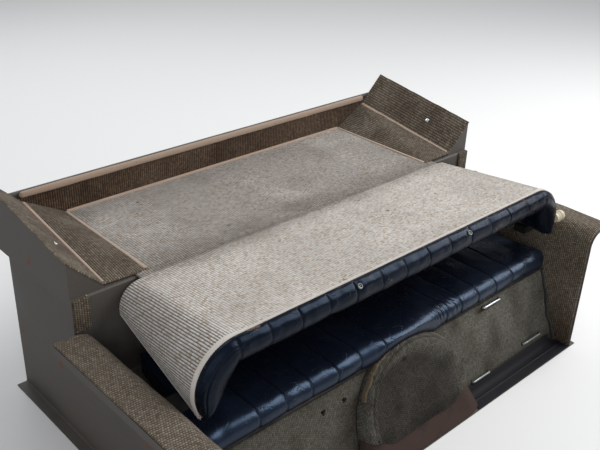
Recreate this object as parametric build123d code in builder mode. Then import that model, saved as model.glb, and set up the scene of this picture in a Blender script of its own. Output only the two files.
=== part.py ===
"""Folding rear seat of a small open four-seater, on its pressed-steel seat pan.

The backrest is folded forward and makes a carpeted luggage deck over the bench cushion.
Millimetres. +X is the left side of the seat, -Y its front, +Z up.
The origin is at floor level, in the middle of the pan.
"""
from build123d import *
import math
import os

os.makedirs("parts", exist_ok=True)

# Pan
pan_depth = 820.0            # front edge of the floor flange to the rear flange
side_wall_x = 602.0          # inner steel face of each side panel
side_outer_x = 690.0         # outer lip of each side panel
sheet = 2.0                  # pressed steel
bend_radius = 5.0
seam_lip = 20.0              # from a bend to the seam between two pressings
platform_z = 207.0           # steel under the cushion
shelf_z = 435.0              # steel of the luggage shelf
bulkhead_rise = 85.0         # bulkhead over the shelf
floor_flange = 54.0          # in front of the heel board
heel_setback = 73.0          # how far the heel board leans back
rear_wall_y = 42.0           # wall between platform and shelf
rear_flange = 8.0            # flange along the bulkhead's top
bead_height = 4.0            # stiffening beads pressed up out of the platform
bead_width = 26.0
bead_end_gap = 42.5          # from the ends of the platform
bead_slope = 30.0            # degrees off upright
bead_x = [-355.0, 355.0]

# Side panels and wheel arches
shoulder_z = 353.0           # steel top of the front shoulder
shoulder_radius = 38.0
side_flange = 28.0           # flange that stands on the floor
outer_lip = 20.0             # lip that hangs down outside
arch_inner_x = 458.0         # edge of the flat shelf
arch_mid_x = 560.0           # foot of the steep part
arch_outer_x = 640.0
arch_front_rise = 3.0        # height over the shelf at arch_mid_x, at the front
arch_rear_rise = 56.0        # and at the bulkhead
arch_steep = 78.0            # further rise from arch_mid_x to arch_outer_x

# Tunnel: an arch through the pan, with a domed nose on the heel board
tunnel_half = 178.0
tunnel_leg = 60.0            # straight legs below the arch
tunnel_carpet_z = 62.0       # lower edge of the nose's carpet
nose_inset = 6.0             # its sides lie this far inside the tunnel's
nose_leg = 72.0
nose_root = 8.0              # how far the nose reaches back into the tunnel
nose_foot = 260.0            # and below the floor, before it is cut level with it
nose_reach = 42.0            # in front of the heel board
nose_bevel = 30.0            # of the nose's front edge, across its face
nose_bevel_side = 24.0       # and along its sides

# Coverings
carpet = 5.0
seat_gap = 0.3               # between soft pieces and what carries them
carpet_hem = 6.0             # carpet stops this far from a free steel edge

# Backrest, folded forward: flat across the middle, with its ends turned down
deck_front_y = -290.0        # front edge of the deck's carpet
deck_rear_y = 25.0
deck_front_z = 470.0
deck_rear_z = 440.0
deck_side_gap = 15.0         # from its widest part to the side walls
deck_front_round = 97.0      # radius of the turned-down ends
deck_rear_round = 54.0
deck_turn = 105.0            # degrees that the ends turn down
deck_lead = 12.0             # the outline runs on past both edges before it is cut to length
leg_foot = 200.0             # and down past the tips of its ends
ear_front_drop = 152.0       # tips of the ends below the top
ear_rear_drop = 70.0
board = 4.0                  # pressed back board under the carpet
pad_rear_y = 8.0
pad_thickness = 46.0         # upholstery at the free edge
pad_rear_thickness = 36.0
roll_reach = 26.0            # padded roll in front of the carpet's edge
roll_drop = 2.0              # its top lies this far below the carpet
roll_round = 23.0
roll_overhang = 1.5          # it hangs this far below the rest of the pad

# Cushion
cushion_overhang = 21.0      # in front of the heel board's top edge
cushion_rear_gap = 22.0      # to the rear wall
cushion_side_gap = 24.0      # to the side carpets, at the front
cushion_taper = 61.0         # how much narrower each side is at the rear
cushion_corner = 40.0
cushion_top_z = 268.0
cushion_round = 20.0
cushion_board = 6.0          # wooden boards under the cushion
board_inset = 24.0

# Hinges: each with knuckles taken in turn by the two leaves
hinge_x = [-360.0, 360.0]
knuckle_count = 3
knuckle_length = 22.0
knuckle_gap = 0.3
knuckle_radius = 4.6
hinge_pin_radius = 2.5
pin_clearance = 0.05
leaf_reach = 22.0
leaf_sheet = 2.0
leaf_notch = 0.7             # room round the other leaf's knuckles

# Fittings
anchor_x = [-259.0, -195.0]  # bare holes in the heel board
anchor_z = 166.0
anchor_radius = 5.0
anchor_carpet_radius = 7.0
drill_length = 40.0
bar_radius = 3.0
bar_foot = 16.0              # from the heel board to the bar's axis
bar_foot_radius = 2.4
bar_inset = 4.0              # from each end of the bar to its foot's axis
# x from, x to, height
heel_bars = [(313.0, 386.0, 190.0), (226.0, 300.0, 30.0), (452.0, 535.0, 42.0)]
stud_x = [-183.0, 183.0]
stud_radius = 6.0
stud_height = 2.6
stud_edge = 1.0
stud_lean = 42.0             # degrees up from straight ahead
knob_radius = 15.0
knob_base = 7.0
knob_neck = 4.0
knob_neck_radius = 9.0
knob_head = 17.0
knob_head_radius = 14.0
knob_edge = 2.0
knob_drop = 101.0            # below the deck's front edge
stop_width = 49.0
stop_depth = 34.0
stop_height = 20.0
stop_setback = 65.0          # behind the deck's front edge
trim_height = 15.0           # padded band on the bulkhead, between the arches
trim_depth = 9.0
trim_round = 4.0
trim_overhang = 8.0          # over the foot of each arch's steep part

half_depth = pan_depth / 2
heel_foot_y = floor_flange - half_depth
heel_top_y = heel_foot_y + heel_setback
bead_length = rear_wall_y - heel_top_y - 2 * bead_end_gap
nose_half = tunnel_half - nose_inset
deck_half = side_wall_x - deck_side_gap - deck_front_round   # half width of its flat middle
cushion_front_y = heel_top_y - cushion_overhang
bulkhead_z = shelf_z + bulkhead_rise
bulkhead_y = half_depth - rear_flange
heel_slope = heel_setback / (platform_z - sheet)
heel_lean = math.degrees(math.atan(heel_slope))
heel_run = platform_z / math.cos(math.radians(heel_lean))
skin = carpet + seat_gap
carpet_wall_x = side_wall_x - carpet
hinge_y = rear_wall_y - knuckle_radius
hinge_z = deck_rear_z - carpet - board - seat_gap - leaf_sheet + knuckle_radius
hinge_pitch = knuckle_length + knuckle_gap
hinge_length = knuckle_count * hinge_pitch - knuckle_gap

# Outline of the pan from the side, on its upper face
pan_line = [
    (-half_depth, sheet),
    (heel_foot_y, sheet),
    (heel_top_y, platform_z),
    (rear_wall_y, platform_z),
    (rear_wall_y, shelf_z),
    (bulkhead_y, shelf_z),
    (bulkhead_y, bulkhead_z),
    (half_depth, bulkhead_z),
]
pan_path = FilletPolyline(*pan_line, radius=bend_radius)


def heel_y(z):
    """Front face of the heel board's steel at height z."""
    return heel_foot_y + (z - sheet) * heel_slope


def across(y):
    """Upright plane across the seat at station y, facing forward."""
    return Plane.XZ.offset(-y)


def leaning(x, y, z, lean):
    """Plane that faces forward and leans back by some degrees."""
    angle = math.radians(lean)
    return Plane((x, y, z), x_dir=(1, 0, 0), z_dir=(0, -math.cos(angle), math.sin(angle)))


def plane_through(a, b, c):
    """Plane through three points; it faces the side from which they turn anticlockwise."""
    first = Vector(b) - Vector(a)
    return Plane(a, x_dir=first, z_dir=first.cross(Vector(c) - Vector(a)))


def save(node, name):
    """Label a finished piece and write it."""
    node.part.label = name
    export_step(node.part, f"parts/{name}.step")


def save_pair(piece, name):
    """Write a piece made on the +X side, and its mirror image."""
    with BuildPart() as left:
        add(piece)
    save(left, f"{name}_left")
    with BuildPart() as right:
        add(mirror(piece, about=Plane.YZ))
    save(right, f"{name}_right")


def arch_face(plane, half, leg, foot):
    """Arch on two straight legs that reach down to foot below the plane's origin."""
    with BuildSketch(plane) as face:
        with BuildLine():
            Polyline((-half, leg), (-half, -foot), (half, -foot), (half, leg))
            ThreePointArc((half, leg), (0, leg + half), (-half, leg))
        make_face()
    return face.sketch


def tunnel(grow):
    """The tunnel's arch and domed nose as one solid, its skin moved out by grow."""
    rear = rear_wall_y + sheet
    board_face = leaning(0, heel_y(0), 0, heel_lean)
    with BuildPart() as nose:
        extrude(arch_face(board_face.offset(-nose_root), nose_half + grow, nose_leg, nose_foot),
                amount=nose_root + nose_reach + grow)
        nose_front = nose.faces().sort_by(Axis(board_face.origin, board_face.z_dir))[-1]
        chamfer(nose_front.edges(), nose_bevel_side, nose_bevel, reference=nose_front)
        split(bisect_by=Plane.XY, keep=Keep.TOP)
    with BuildPart() as solid:
        extrude(arch_face(across(rear), tunnel_half + grow, tunnel_leg, 0), amount=rear + half_depth)
        split(bisect_by=board_face.offset(grow), keep=Keep.BOTTOM)
        add(nose.part)
    return solid.part


# Steel of the pan, then its four pressings, which butt at seams near the bends
with BuildPart() as pan:
    with BuildSketch(Plane.YZ.offset(-side_wall_x)):
        with BuildLine():
            add(pan_path)
            offset(pan_path, amount=sheet, side=Side.RIGHT)
        make_face()
    extrude(amount=2 * side_wall_x)
    bead_y = (heel_top_y + rear_wall_y) / 2
    with BuildSketch(Plane.XY.offset(platform_z)):
        with Locations([(x, bead_y) for x in bead_x]):
            SlotOverall(bead_length, bead_width, rotation=90)
    extrude(amount=bead_height, taper=bead_slope)
    with BuildSketch(Plane.XY.offset(platform_z - sheet)):
        with Locations([(x, bead_y) for x in bead_x]):
            SlotOverall(bead_length - 2 * sheet, bead_width - 2 * sheet, rotation=90)
    extrude(amount=bead_height, taper=bead_slope, mode=Mode.SUBTRACT)
    add(tunnel(0), mode=Mode.SUBTRACT)
    for x in anchor_x:
        with Locations(leaning(x, heel_y(anchor_z), anchor_z, heel_lean)):
            Cylinder(anchor_radius, drill_length, mode=Mode.SUBTRACT)

heel_seam = across(heel_top_y + seam_lip)
wall_seam = Plane.XY.offset(platform_z + seam_lip)
shelf_seam = Plane.XY.offset(shelf_z + seam_lip)

with BuildPart() as heel_board:
    add(pan.part)
    split(bisect_by=heel_seam, keep=Keep.TOP)
save(heel_board, "heel_board")

with BuildPart() as seat_platform:
    add(pan.part)
    split(bisect_by=heel_seam, keep=Keep.BOTTOM)
    split(bisect_by=wall_seam, keep=Keep.BOTTOM)
save(seat_platform, "seat_platform")

with BuildPart() as shelf_panel:
    add(pan.part)
    split(bisect_by=wall_seam, keep=Keep.TOP)
    split(bisect_by=shelf_seam, keep=Keep.BOTTOM)
save(shelf_panel, "shelf_panel")

with BuildPart() as bulkhead:
    add(pan.part)
    split(bisect_by=shelf_seam, keep=Keep.TOP)
save(bulkhead, "bulkhead")

with BuildPart() as tunnel_cover:
    add(tunnel(0))
    add(tunnel(-sheet), mode=Mode.SUBTRACT)
save(tunnel_cover, "tunnel_cover")


def side_strip(y, top_z, radius, outer_x):
    """Section of a side panel at station y: foot flange, wall, shoulder, outer lip."""
    with BuildSketch(across(y)) as strip:
        with BuildLine():
            foot = RadiusArc((side_wall_x + bend_radius, 0), (side_wall_x, bend_radius), bend_radius)
            Line((side_wall_x + side_flange, 0), foot @ 0)
            wall = Line(foot @ 1, (side_wall_x, top_z - radius))
            bend = RadiusArc(wall @ 1, (side_wall_x + radius, top_z), radius)
            Polyline(bend @ 1, (outer_x, top_z), (outer_x, top_z - outer_lip))
            offset(amount=sheet, side=Side.RIGHT)
        make_face()
    return strip.sketch


# Each side panel is low beside the cushion and high beside the shelf, with a closing wall between
with BuildPart() as side_panel:
    low_strip = side_strip(rear_wall_y, shoulder_z, shoulder_radius, side_outer_x)
    extrude(low_strip, amount=half_depth + rear_wall_y)
    high_strip = side_strip(half_depth, shelf_z, bend_radius, arch_outer_x)
    extrude(high_strip, amount=half_depth - rear_wall_y)
    closing_x = side_wall_x + sheet
    closing_z = shoulder_z - outer_lip
    closing_height = shelf_z - sheet - closing_z
    with BuildSketch(across(rear_wall_y + sheet)):
        with Locations((closing_x, closing_z)):
            Rectangle(arch_outer_x - closing_x, closing_height, align=(Align.MIN, Align.MIN))
    extrude(amount=sheet)
save_pair(side_panel.part, "side_panel")

# Wheel arch tops on both sides of the shelf, highest at the bulkhead
arch_front_y = rear_wall_y + carpet_hem
arch_rear_y = bulkhead_y - skin


def block_under(x_from, x_to, top_planes):
    """Block on the shelf between two stations, cut down to below some planes."""
    with BuildPart() as block:
        with BuildSketch(Plane.XY.offset(shelf_z)):
            with Locations(((x_from + x_to) / 2, (arch_front_y + arch_rear_y) / 2)):
                Rectangle(x_to - x_from, arch_rear_y - arch_front_y)
        extrude(amount=arch_rear_rise + arch_steep + bulkhead_rise)
        for plane in top_planes:
            split(bisect_by=plane, keep=Keep.BOTTOM)
    return block.part


def arch_form(lift):
    """Wheel arch top with its skin moved up by lift, folded along one diagonal."""
    foot = shelf_z + lift
    inner_front = (arch_inner_x, arch_front_y, foot)
    inner_rear = (arch_inner_x, arch_rear_y, foot)
    mid_front = (arch_mid_x, arch_front_y, foot + arch_front_rise)
    mid_rear = (arch_mid_x, arch_rear_y, foot + arch_rear_rise)
    outer_rear = (arch_outer_x, arch_rear_y, foot + arch_rear_rise + arch_steep)
    low_planes = [
        plane_through(inner_front, mid_rear, inner_rear),
        plane_through(inner_front, mid_front, mid_rear),
    ]
    with BuildPart() as form:
        add(block_under(arch_inner_x, arch_mid_x, low_planes))
        add(block_under(arch_mid_x, arch_outer_x, [plane_through(mid_front, outer_rear, mid_rear)]))
    return form.part


save_pair(arch_form(0), "wheel_arch")

with BuildPart() as arch_carpet:
    add(arch_form(carpet))
    add(arch_form(0), mode=Mode.SUBTRACT)
save_pair(arch_carpet.part, "arch_carpet")

# Carpets of the pan
with BuildPart() as under_pan:
    with BuildSketch(Plane.YZ.offset(-side_wall_x)):
        with BuildLine():
            add(pan_path)
            Polyline(pan_line[-1], (half_depth, 0), (-half_depth, 0), pan_line[0])
        make_face()
    extrude(amount=2 * side_wall_x)

with BuildPart() as side_carpet:
    with BuildSketch(across(rear_wall_y - carpet_hem)):
        with BuildLine():
            wall = Line((side_wall_x, carpet_hem + sheet), (side_wall_x, shoulder_z - shoulder_radius))
            bend = RadiusArc(wall @ 1, (side_wall_x + shoulder_radius, shoulder_z), shoulder_radius)
            Line(bend @ 1, (side_outer_x - sheet, shoulder_z))
            offset(amount=carpet, side=Side.LEFT)
        make_face()
    extrude(amount=half_depth + rear_wall_y - 2 * carpet_hem)
    add(under_pan.part, mode=Mode.SUBTRACT)
save_pair(side_carpet.part, "side_carpet")

with BuildPart() as heel_carpet:
    with BuildSketch(leaning(0, heel_y(0), 0, heel_lean)):
        with Locations((0, carpet_hem + sheet)):
            Rectangle(2 * (carpet_wall_x - seat_gap), heel_run - 2 * carpet_hem - sheet,
                      align=(Align.CENTER, Align.MIN))
    extrude(amount=carpet)
    add(tunnel(carpet + seat_gap), mode=Mode.SUBTRACT)
    for x in anchor_x:
        with Locations(leaning(x, heel_y(anchor_z), anchor_z, heel_lean)):
            Cylinder(anchor_carpet_radius, drill_length, mode=Mode.SUBTRACT)
save(heel_carpet, "heel_carpet")

with BuildPart() as tunnel_carpet:
    add(tunnel(carpet))
    add(tunnel(0), mode=Mode.SUBTRACT)
    split(bisect_by=leaning(0, heel_y(0), 0, heel_lean), keep=Keep.TOP)
    split(bisect_by=Plane.XY.offset(tunnel_carpet_z), keep=Keep.TOP)
save(tunnel_carpet, "tunnel_carpet")

with BuildPart() as shelf_carpet:
    with BuildSketch(Plane.XY.offset(shelf_z)):
        with Locations((0, rear_wall_y + bend_radius)):
            Rectangle(2 * (arch_inner_x - seat_gap), bulkhead_y - skin - rear_wall_y - bend_radius,
                      align=(Align.CENTER, Align.MIN))
    extrude(amount=carpet)
save(shelf_carpet, "shelf_carpet")

with BuildPart() as bulkhead_carpet:
    carpet_foot = shelf_z + bend_radius + sheet
    carpet_height = bulkhead_z - trim_height - carpet_foot
    with BuildSketch(across(bulkhead_y)):
        with Locations((0, carpet_foot)):
            Rectangle(2 * side_wall_x, carpet_height, align=(Align.CENTER, Align.MIN))
    extrude(amount=carpet)
save(bulkhead_carpet, "bulkhead_carpet")

trim_half = arch_mid_x + trim_overhang
with BuildPart() as bulkhead_trim:
    with BuildSketch(Plane.YZ.offset(-trim_half)):
        with Locations((bulkhead_y, bulkhead_z - trim_height + seat_gap)):
            Rectangle(trim_depth, trim_height, align=(Align.MAX, Align.MIN))
        fillet(vertices().group_by(Axis.X)[0], trim_round)
    extrude(amount=2 * trim_half)
save(bulkhead_trim, "bulkhead_trim")

# Cushion on two boards, one on each side of the tunnel
cushion_rear_y = rear_wall_y - cushion_rear_gap
cushion_half = carpet_wall_x - cushion_side_gap


def cushion_outline(front_y, inset):
    """Corners of the bench seen from above, moved in by inset behind front_y."""
    front_half = cushion_half - inset
    rear_half = cushion_half - cushion_taper - inset
    rear_y = cushion_rear_y - inset
    return [(-front_half, front_y), (front_half, front_y), (rear_half, rear_y), (-rear_half, rear_y)]


with BuildPart() as cushion_boards:
    with BuildSketch(Plane.XY.offset(platform_z + bead_height)):
        with BuildLine():
            Polyline(*cushion_outline(heel_top_y + board_inset, board_inset), close=True)
        make_face()
    extrude(amount=cushion_board)
    add(tunnel(seat_gap), mode=Mode.SUBTRACT)
save(cushion_boards, "cushion_boards")

cushion_floor = platform_z + bead_height + cushion_board
with BuildPart() as cushion:
    with BuildSketch(Plane.XY.offset(cushion_floor)):
        with BuildLine():
            Polyline(*cushion_outline(cushion_front_y, 0), close=True)
        make_face()
        fillet(vertices(), cushion_corner)
    extrude(amount=cushion_top_z - cushion_floor)
    fillet(edges().group_by(Axis.Z)[-1], cushion_round)
    add(tunnel(skin + seat_gap), mode=Mode.SUBTRACT)
save(cushion, "cushion")

# Backrest: carpet, board and upholstery follow one outline, whose ends are parts of cones
front_level = deck_front_z - deck_front_round
rear_level = deck_rear_z - deck_rear_round
deck_run = math.hypot(deck_rear_y - deck_front_y, rear_level - front_level)
deck_axis = (0, deck_rear_y - deck_front_y, rear_level - front_level)
deck_plane = Plane((0, deck_front_y, front_level), x_dir=(-1, 0, 0), z_dir=deck_axis)
pad_outer = carpet + board + seat_gap
pad_inner = pad_outer + pad_thickness
pad_rear_inner = pad_outer + pad_rear_thickness
tip_front_z = deck_front_z - ear_front_drop
tip_rear_z = deck_rear_z - ear_rear_drop
tip_slope = (tip_rear_z - tip_front_z) / (deck_rear_y - deck_front_y)
tip_plane = plane_through((0, deck_front_y, tip_front_z), (1, deck_front_y, tip_front_z),
                          (0, deck_rear_y, tip_rear_z))


def deck_face(plane, radius, foot):
    """Closed outline under the deck: flat top, ends turned down, legs to foot below the plane."""
    angle = math.radians(deck_turn)
    arc_end = (deck_half + radius * math.sin(angle), radius * math.cos(angle))
    leg_x = arc_end[0] + (arc_end[1] + foot) / math.tan(angle)
    with BuildSketch(plane) as face:
        with BuildLine():
            Polyline((0, -foot), (leg_x, -foot), arc_end)
            CenterArc((deck_half, 0), radius, 90 - deck_turn, deck_turn)
            Line((deck_half, radius), (0, radius))
            mirror(about=Plane.YZ)
        make_face()
    return face.sketch


def deck_form(depth, rear_depth, foot):
    """All that lies under the carpet's face by some depth, narrowing from front to rear."""
    radius = deck_front_round - depth
    narrowing = (radius - deck_rear_round + rear_depth) / deck_run
    face = deck_face(deck_plane.offset(-deck_lead), radius + narrowing * deck_lead, foot)
    return extrude(face, amount=deck_run + 2 * deck_lead, taper=math.degrees(math.atan(narrowing)))


def deck_layer(front_y, rear_y, outer, inner, rear_inner):
    """One layer of the backrest between two stations and two depths."""
    with BuildPart() as layer:
        add(deck_form(outer, outer, leg_foot))
        add(deck_form(inner, rear_inner, leg_foot + deck_lead), mode=Mode.SUBTRACT)
        split(bisect_by=across(front_y), keep=Keep.BOTTOM)
        split(bisect_by=across(rear_y), keep=Keep.TOP)
        split(bisect_by=tip_plane, keep=Keep.TOP)
    return layer.part


with BuildPart() as back_carpet:
    add(deck_layer(deck_front_y, deck_rear_y, 0, carpet, carpet))
save(back_carpet, "back_carpet")

with BuildPart() as back_board:
    add(deck_layer(deck_front_y, deck_rear_y, carpet, carpet + board, carpet + board))
save(back_board, "back_board")

# The pad's rolled edge lies in front of the board and carpet
roll_y = deck_front_y - seat_gap
with BuildPart() as roll:
    roll_plane = across(roll_y).shift_origin((0, roll_y, front_level))
    with BuildSketch(roll_plane):
        add(deck_face(Plane.XY, deck_front_round - roll_drop, leg_foot))
        add(deck_face(Plane.XY, deck_front_round - pad_inner - roll_overhang, leg_foot), mode=Mode.SUBTRACT)
    extrude(amount=roll_reach)
    split(bisect_by=Plane.XY.offset(tip_front_z - roll_overhang), keep=Keep.TOP)
    fillet(roll.faces().sort_by(Axis.Y)[0].edges(), roll_round)

with BuildPart() as back_pad:
    add(deck_layer(roll_y, pad_rear_y, pad_outer, pad_inner, pad_rear_inner))
    add(roll.part)
save(back_pad, "back_pad")


def knuckle_centres(x, first):
    """Middles of the knuckles of one leaf: every second one, counted from first."""
    start = x - hinge_length / 2 + knuckle_length / 2
    return [start + k * hinge_pitch for k in range(first, knuckle_count, 2)]


def hinge_rod(x, length, radius):
    """Round rod on the hinge axis, centred at x."""
    with BuildPart() as rod:
        with BuildSketch(Plane.YZ.offset(x - length / 2)):
            with Locations((hinge_y, hinge_z)):
                Circle(radius)
        extrude(amount=length)
    return rod.part


# Fixed leaves hang on the rear wall, moving leaves lie under the back board
notch = knuckle_radius + leaf_notch
hung = (Align.CENTER, Align.MAX, Align.MAX)
with BuildPart() as hinge_fixed_leaves:
    for x in hinge_x:
        with Locations((x, rear_wall_y, hinge_z - notch)):
            Box(hinge_length, leaf_sheet, leaf_reach - notch, align=hung)
        for middle in knuckle_centres(x, 0):
            with Locations((middle, rear_wall_y, hinge_z)):
                Box(knuckle_length, leaf_sheet, notch, align=hung)
            add(hinge_rod(middle, knuckle_length, knuckle_radius))
        add(hinge_rod(x, 2 * hinge_length, hinge_pin_radius + pin_clearance), mode=Mode.SUBTRACT)
save(hinge_fixed_leaves, "hinge_fixed_leaves")

leaf_top = hinge_z - knuckle_radius + leaf_sheet
with BuildPart() as hinge_moving_leaves:
    for x in hinge_x:
        with Locations((x, hinge_y - notch, leaf_top)):
            Box(hinge_length, leaf_reach - notch, leaf_sheet, align=hung)
        for middle in knuckle_centres(x, 1):
            with Locations((middle, hinge_y, leaf_top)):
                Box(knuckle_length, notch, leaf_sheet, align=hung)
            add(hinge_rod(middle, knuckle_length, knuckle_radius))
        add(hinge_rod(x, 2 * hinge_length, hinge_pin_radius + pin_clearance), mode=Mode.SUBTRACT)
save(hinge_moving_leaves, "hinge_moving_leaves")

with BuildPart() as hinge_pins:
    for x in hinge_x:
        add(hinge_rod(x, hinge_length, hinge_pin_radius))
save(hinge_pins, "hinge_pins")

# Chrome bars of the heel board, each a rod with two feet on the carpet
standing = (Align.CENTER, Align.CENTER, Align.MIN)
with BuildPart() as heel_bar_set:
    for x_from, x_to, z in heel_bars:
        with Locations(leaning((x_from + x_to) / 2, heel_y(z), z, heel_lean)):
            with Locations((0, 0, bar_foot)):
                Cylinder(bar_radius, x_to - x_from, rotation=(0, 90, 0))
        for x in (x_from + bar_inset, x_to - bar_inset):
            with Locations(leaning(x, heel_y(z), z, heel_lean).offset(skin)):
                Cylinder(bar_foot_radius, bar_foot - skin, align=standing)
save(heel_bar_set, "heel_bars")

# Snap studs on the rolled edge
stud_angle = math.radians(stud_lean)
stud_y = roll_y - roll_reach + roll_round * (1 - math.cos(stud_angle))
stud_z = deck_front_z - roll_drop - roll_round * (1 - math.sin(stud_angle))
with BuildPart() as edge_studs:
    for x in stud_x:
        with BuildSketch(leaning(x, stud_y, stud_z, stud_lean).offset(seat_gap)):
            Circle(stud_radius)
        stud = extrude(amount=stud_height)
        chamfer(stud.faces().filter_by(GeomType.PLANE).sort_by(Axis.Y)[0].edges(), stud_edge)
save(edge_studs, "edge_studs")

# Knob on the outer side of the left end
knob_x = deck_half + deck_front_round + seat_gap
knob_y = deck_front_y - roll_reach / 2
neck_x = knob_x + knob_base
head_x = neck_x + knob_neck
tip_x = head_x + knob_head
knob_profile = [
    (knob_x, 0),
    (knob_x, knob_radius),
    (neck_x, knob_radius),
    (neck_x, knob_neck_radius),
    (head_x, knob_neck_radius),
    (head_x, knob_head_radius),
    (tip_x - knob_edge, knob_head_radius),
    (tip_x, knob_head_radius - knob_edge),
    (tip_x, 0),
]
with BuildPart() as end_knob:
    with BuildSketch(Plane((0, knob_y, deck_front_z - knob_drop), x_dir=(1, 0, 0), z_dir=(0, -1, 0))):
        with BuildLine():
            Polyline(*knob_profile, close=True)
        make_face()
    revolve(axis=Axis((0, knob_y, deck_front_z - knob_drop), (1, 0, 0)))
save(end_knob, "end_knob")

# Rubber stops on the side carpets, under the turned-down ends
stop_y = deck_front_y + stop_setback
stop_top = tip_front_z + (stop_setback - stop_depth / 2) * tip_slope - seat_gap
with BuildPart() as stop_pads:
    for side in (-1, 1):
        with Locations((side * (carpet_wall_x - stop_width / 2), stop_y, stop_top)):
            Box(stop_width, stop_depth, stop_height, align=(Align.CENTER, Align.CENTER, Align.MAX))
save(stop_pads, "stop_pads")
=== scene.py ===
"""Looks of a folding rear seat on its seat pan: leather, carpets, bindings, fittings and light.

Metres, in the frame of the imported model: +X is the left side of the seat, -Y its front, +Z up.
The backrest lies folded forward as a luggage deck over the bench cushion.
"""
import logging
import math
from collections.abc import Sequence
from dataclasses import dataclass
from enum import Enum
from typing import Any

import bpy
import numpy as np
from mathutils import Matrix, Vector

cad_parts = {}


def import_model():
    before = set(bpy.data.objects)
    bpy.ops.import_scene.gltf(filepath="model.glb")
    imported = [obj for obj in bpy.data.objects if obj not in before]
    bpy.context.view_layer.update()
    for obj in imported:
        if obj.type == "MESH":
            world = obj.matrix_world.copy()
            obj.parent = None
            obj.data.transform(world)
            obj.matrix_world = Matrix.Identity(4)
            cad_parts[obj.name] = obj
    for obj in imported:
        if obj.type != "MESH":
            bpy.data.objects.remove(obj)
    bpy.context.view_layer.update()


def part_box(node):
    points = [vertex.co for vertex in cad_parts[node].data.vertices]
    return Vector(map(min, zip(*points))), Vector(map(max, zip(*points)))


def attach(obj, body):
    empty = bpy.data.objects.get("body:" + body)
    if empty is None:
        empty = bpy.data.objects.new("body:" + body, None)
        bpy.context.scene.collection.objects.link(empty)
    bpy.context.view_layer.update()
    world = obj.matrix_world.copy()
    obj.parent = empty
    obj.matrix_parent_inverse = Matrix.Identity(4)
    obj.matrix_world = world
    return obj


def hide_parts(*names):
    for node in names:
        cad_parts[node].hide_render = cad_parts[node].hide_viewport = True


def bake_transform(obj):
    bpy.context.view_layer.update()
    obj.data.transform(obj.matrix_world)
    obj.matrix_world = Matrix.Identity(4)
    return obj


log = logging.getLogger("seat")
Array = np.ndarray
Colour = tuple[float, float, float]
Place = tuple[float, float, float]
Span = tuple[float, float]
Socket = bpy.types.NodeSocket
Piece = bpy.types.Object

CARPET_THICKNESS = 0.005
SHELF_TOP = 0.440
GROOVE_WIDTH = 0.0016
STUD_PLACES = (-0.183, 0.183)
CRISP_ANGLE = math.radians(42)
SIDE_NAMES = {-1: "right", 1: "left"}
LEFT, FORWARD, UP = np.array([1.0, 0.0, 0.0]), np.array([0.0, -1.0, 0.0]), np.array([0.0, 0.0, 1.0])


class Body(Enum):
    """The two rigid bodies of the seat."""

    PAN = "pan"
    BACKREST = "backrest"


class Weave(Enum):
    """How the loops of a carpet lie: in long ribs, or in squares."""

    RIBBED = 0.0
    SQUARE = 1.0


def rgb(red: int, green: int, blue: int) -> Colour:
    """Linear colour of three display values from 0 to 255.

    Formula: c / 12.92 under 0.04045, else ((c + 0.055) / 1.055) ** 2.4, with c = value / 255.
    """
    shown = [value / 255 for value in (red, green, blue)]
    return tuple(c / 12.92 if c <= 0.04045 else ((c + 0.055) / 1.055) ** 2.4 for c in shown)


# Working with arrays of points


def ease(value: Array | float, low: float, high: float) -> Array:
    """Smooth step from 0 at low to 1 at high: t * t * (3 - 2 * t)."""
    t = np.clip((np.asarray(value, float) - low) / (high - low), 0, 1)
    return t * t * (3 - 2 * t)


def drift(u: Array, v: Array, cell: float, seed: int) -> Array:
    """Soft noise from -1 to 1.

    Formula: random heights at the corners of square cells, blended between them by t*t*(3-2*t).

    Args:
        u, v: places on the surface, in metres.
        cell: size of one cell, in metres.
        seed: picks the table of heights.

    Returns:
        One value for each place.
    """
    table = np.random.default_rng(seed).uniform(-1, 1, (97, 89))
    x, y = np.broadcast_arrays(np.asarray(u, float) / cell, np.asarray(v, float) / cell)
    i, j = np.floor(x).astype(int), np.floor(y).astype(int)
    s, t = ease(x - i, 0, 1), ease(y - j, 0, 1)
    low = table[i % 97, j % 89] * (1 - s) + table[(i + 1) % 97, j % 89] * s
    high = table[i % 97, (j + 1) % 89] * (1 - s) + table[(i + 1) % 97, (j + 1) % 89] * s
    return low * (1 - t) + high * t


def unit(vectors: Array) -> Array:
    """Vectors divided by their own lengths."""
    return vectors / np.maximum(np.linalg.norm(vectors, axis=-1, keepdims=True), 1e-12)


def bell(offset: Array, width: float) -> Array:
    """Smooth bump of height 1: exp(-(offset / width) ** 2)."""
    return np.exp(-(offset / width) ** 2)


def grid(*parts: Array | float) -> Array:
    """Points (or places on a plan) from their coordinates, each spread over the whole grid."""
    return np.stack(np.broadcast_arrays(*parts), axis=-1)


def travel(path: Array) -> Array:
    """Distance along a path at each of its points."""
    return np.concatenate([[0], np.cumsum(np.linalg.norm(np.diff(path, axis=0), axis=1))])


def grid_normals(face: Array) -> Array:
    """Normals of a grid of points: the cross product of its two running directions."""
    return unit(np.cross(np.gradient(face, axis=0), np.gradient(face, axis=1)))


def outline_normals(section: Array, middle: Sequence[float]) -> Array:
    """Normals of a closed outline, all turned away from a point in its middle."""
    ahead = np.gradient(np.concatenate([section[-1:], section, section[:1]]), axis=0)[1:-1]
    normal = unit(np.stack([ahead[:, 1], -ahead[:, 0]], axis=1))
    return normal * np.sign((normal * (section - np.array(middle))).sum())


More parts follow.
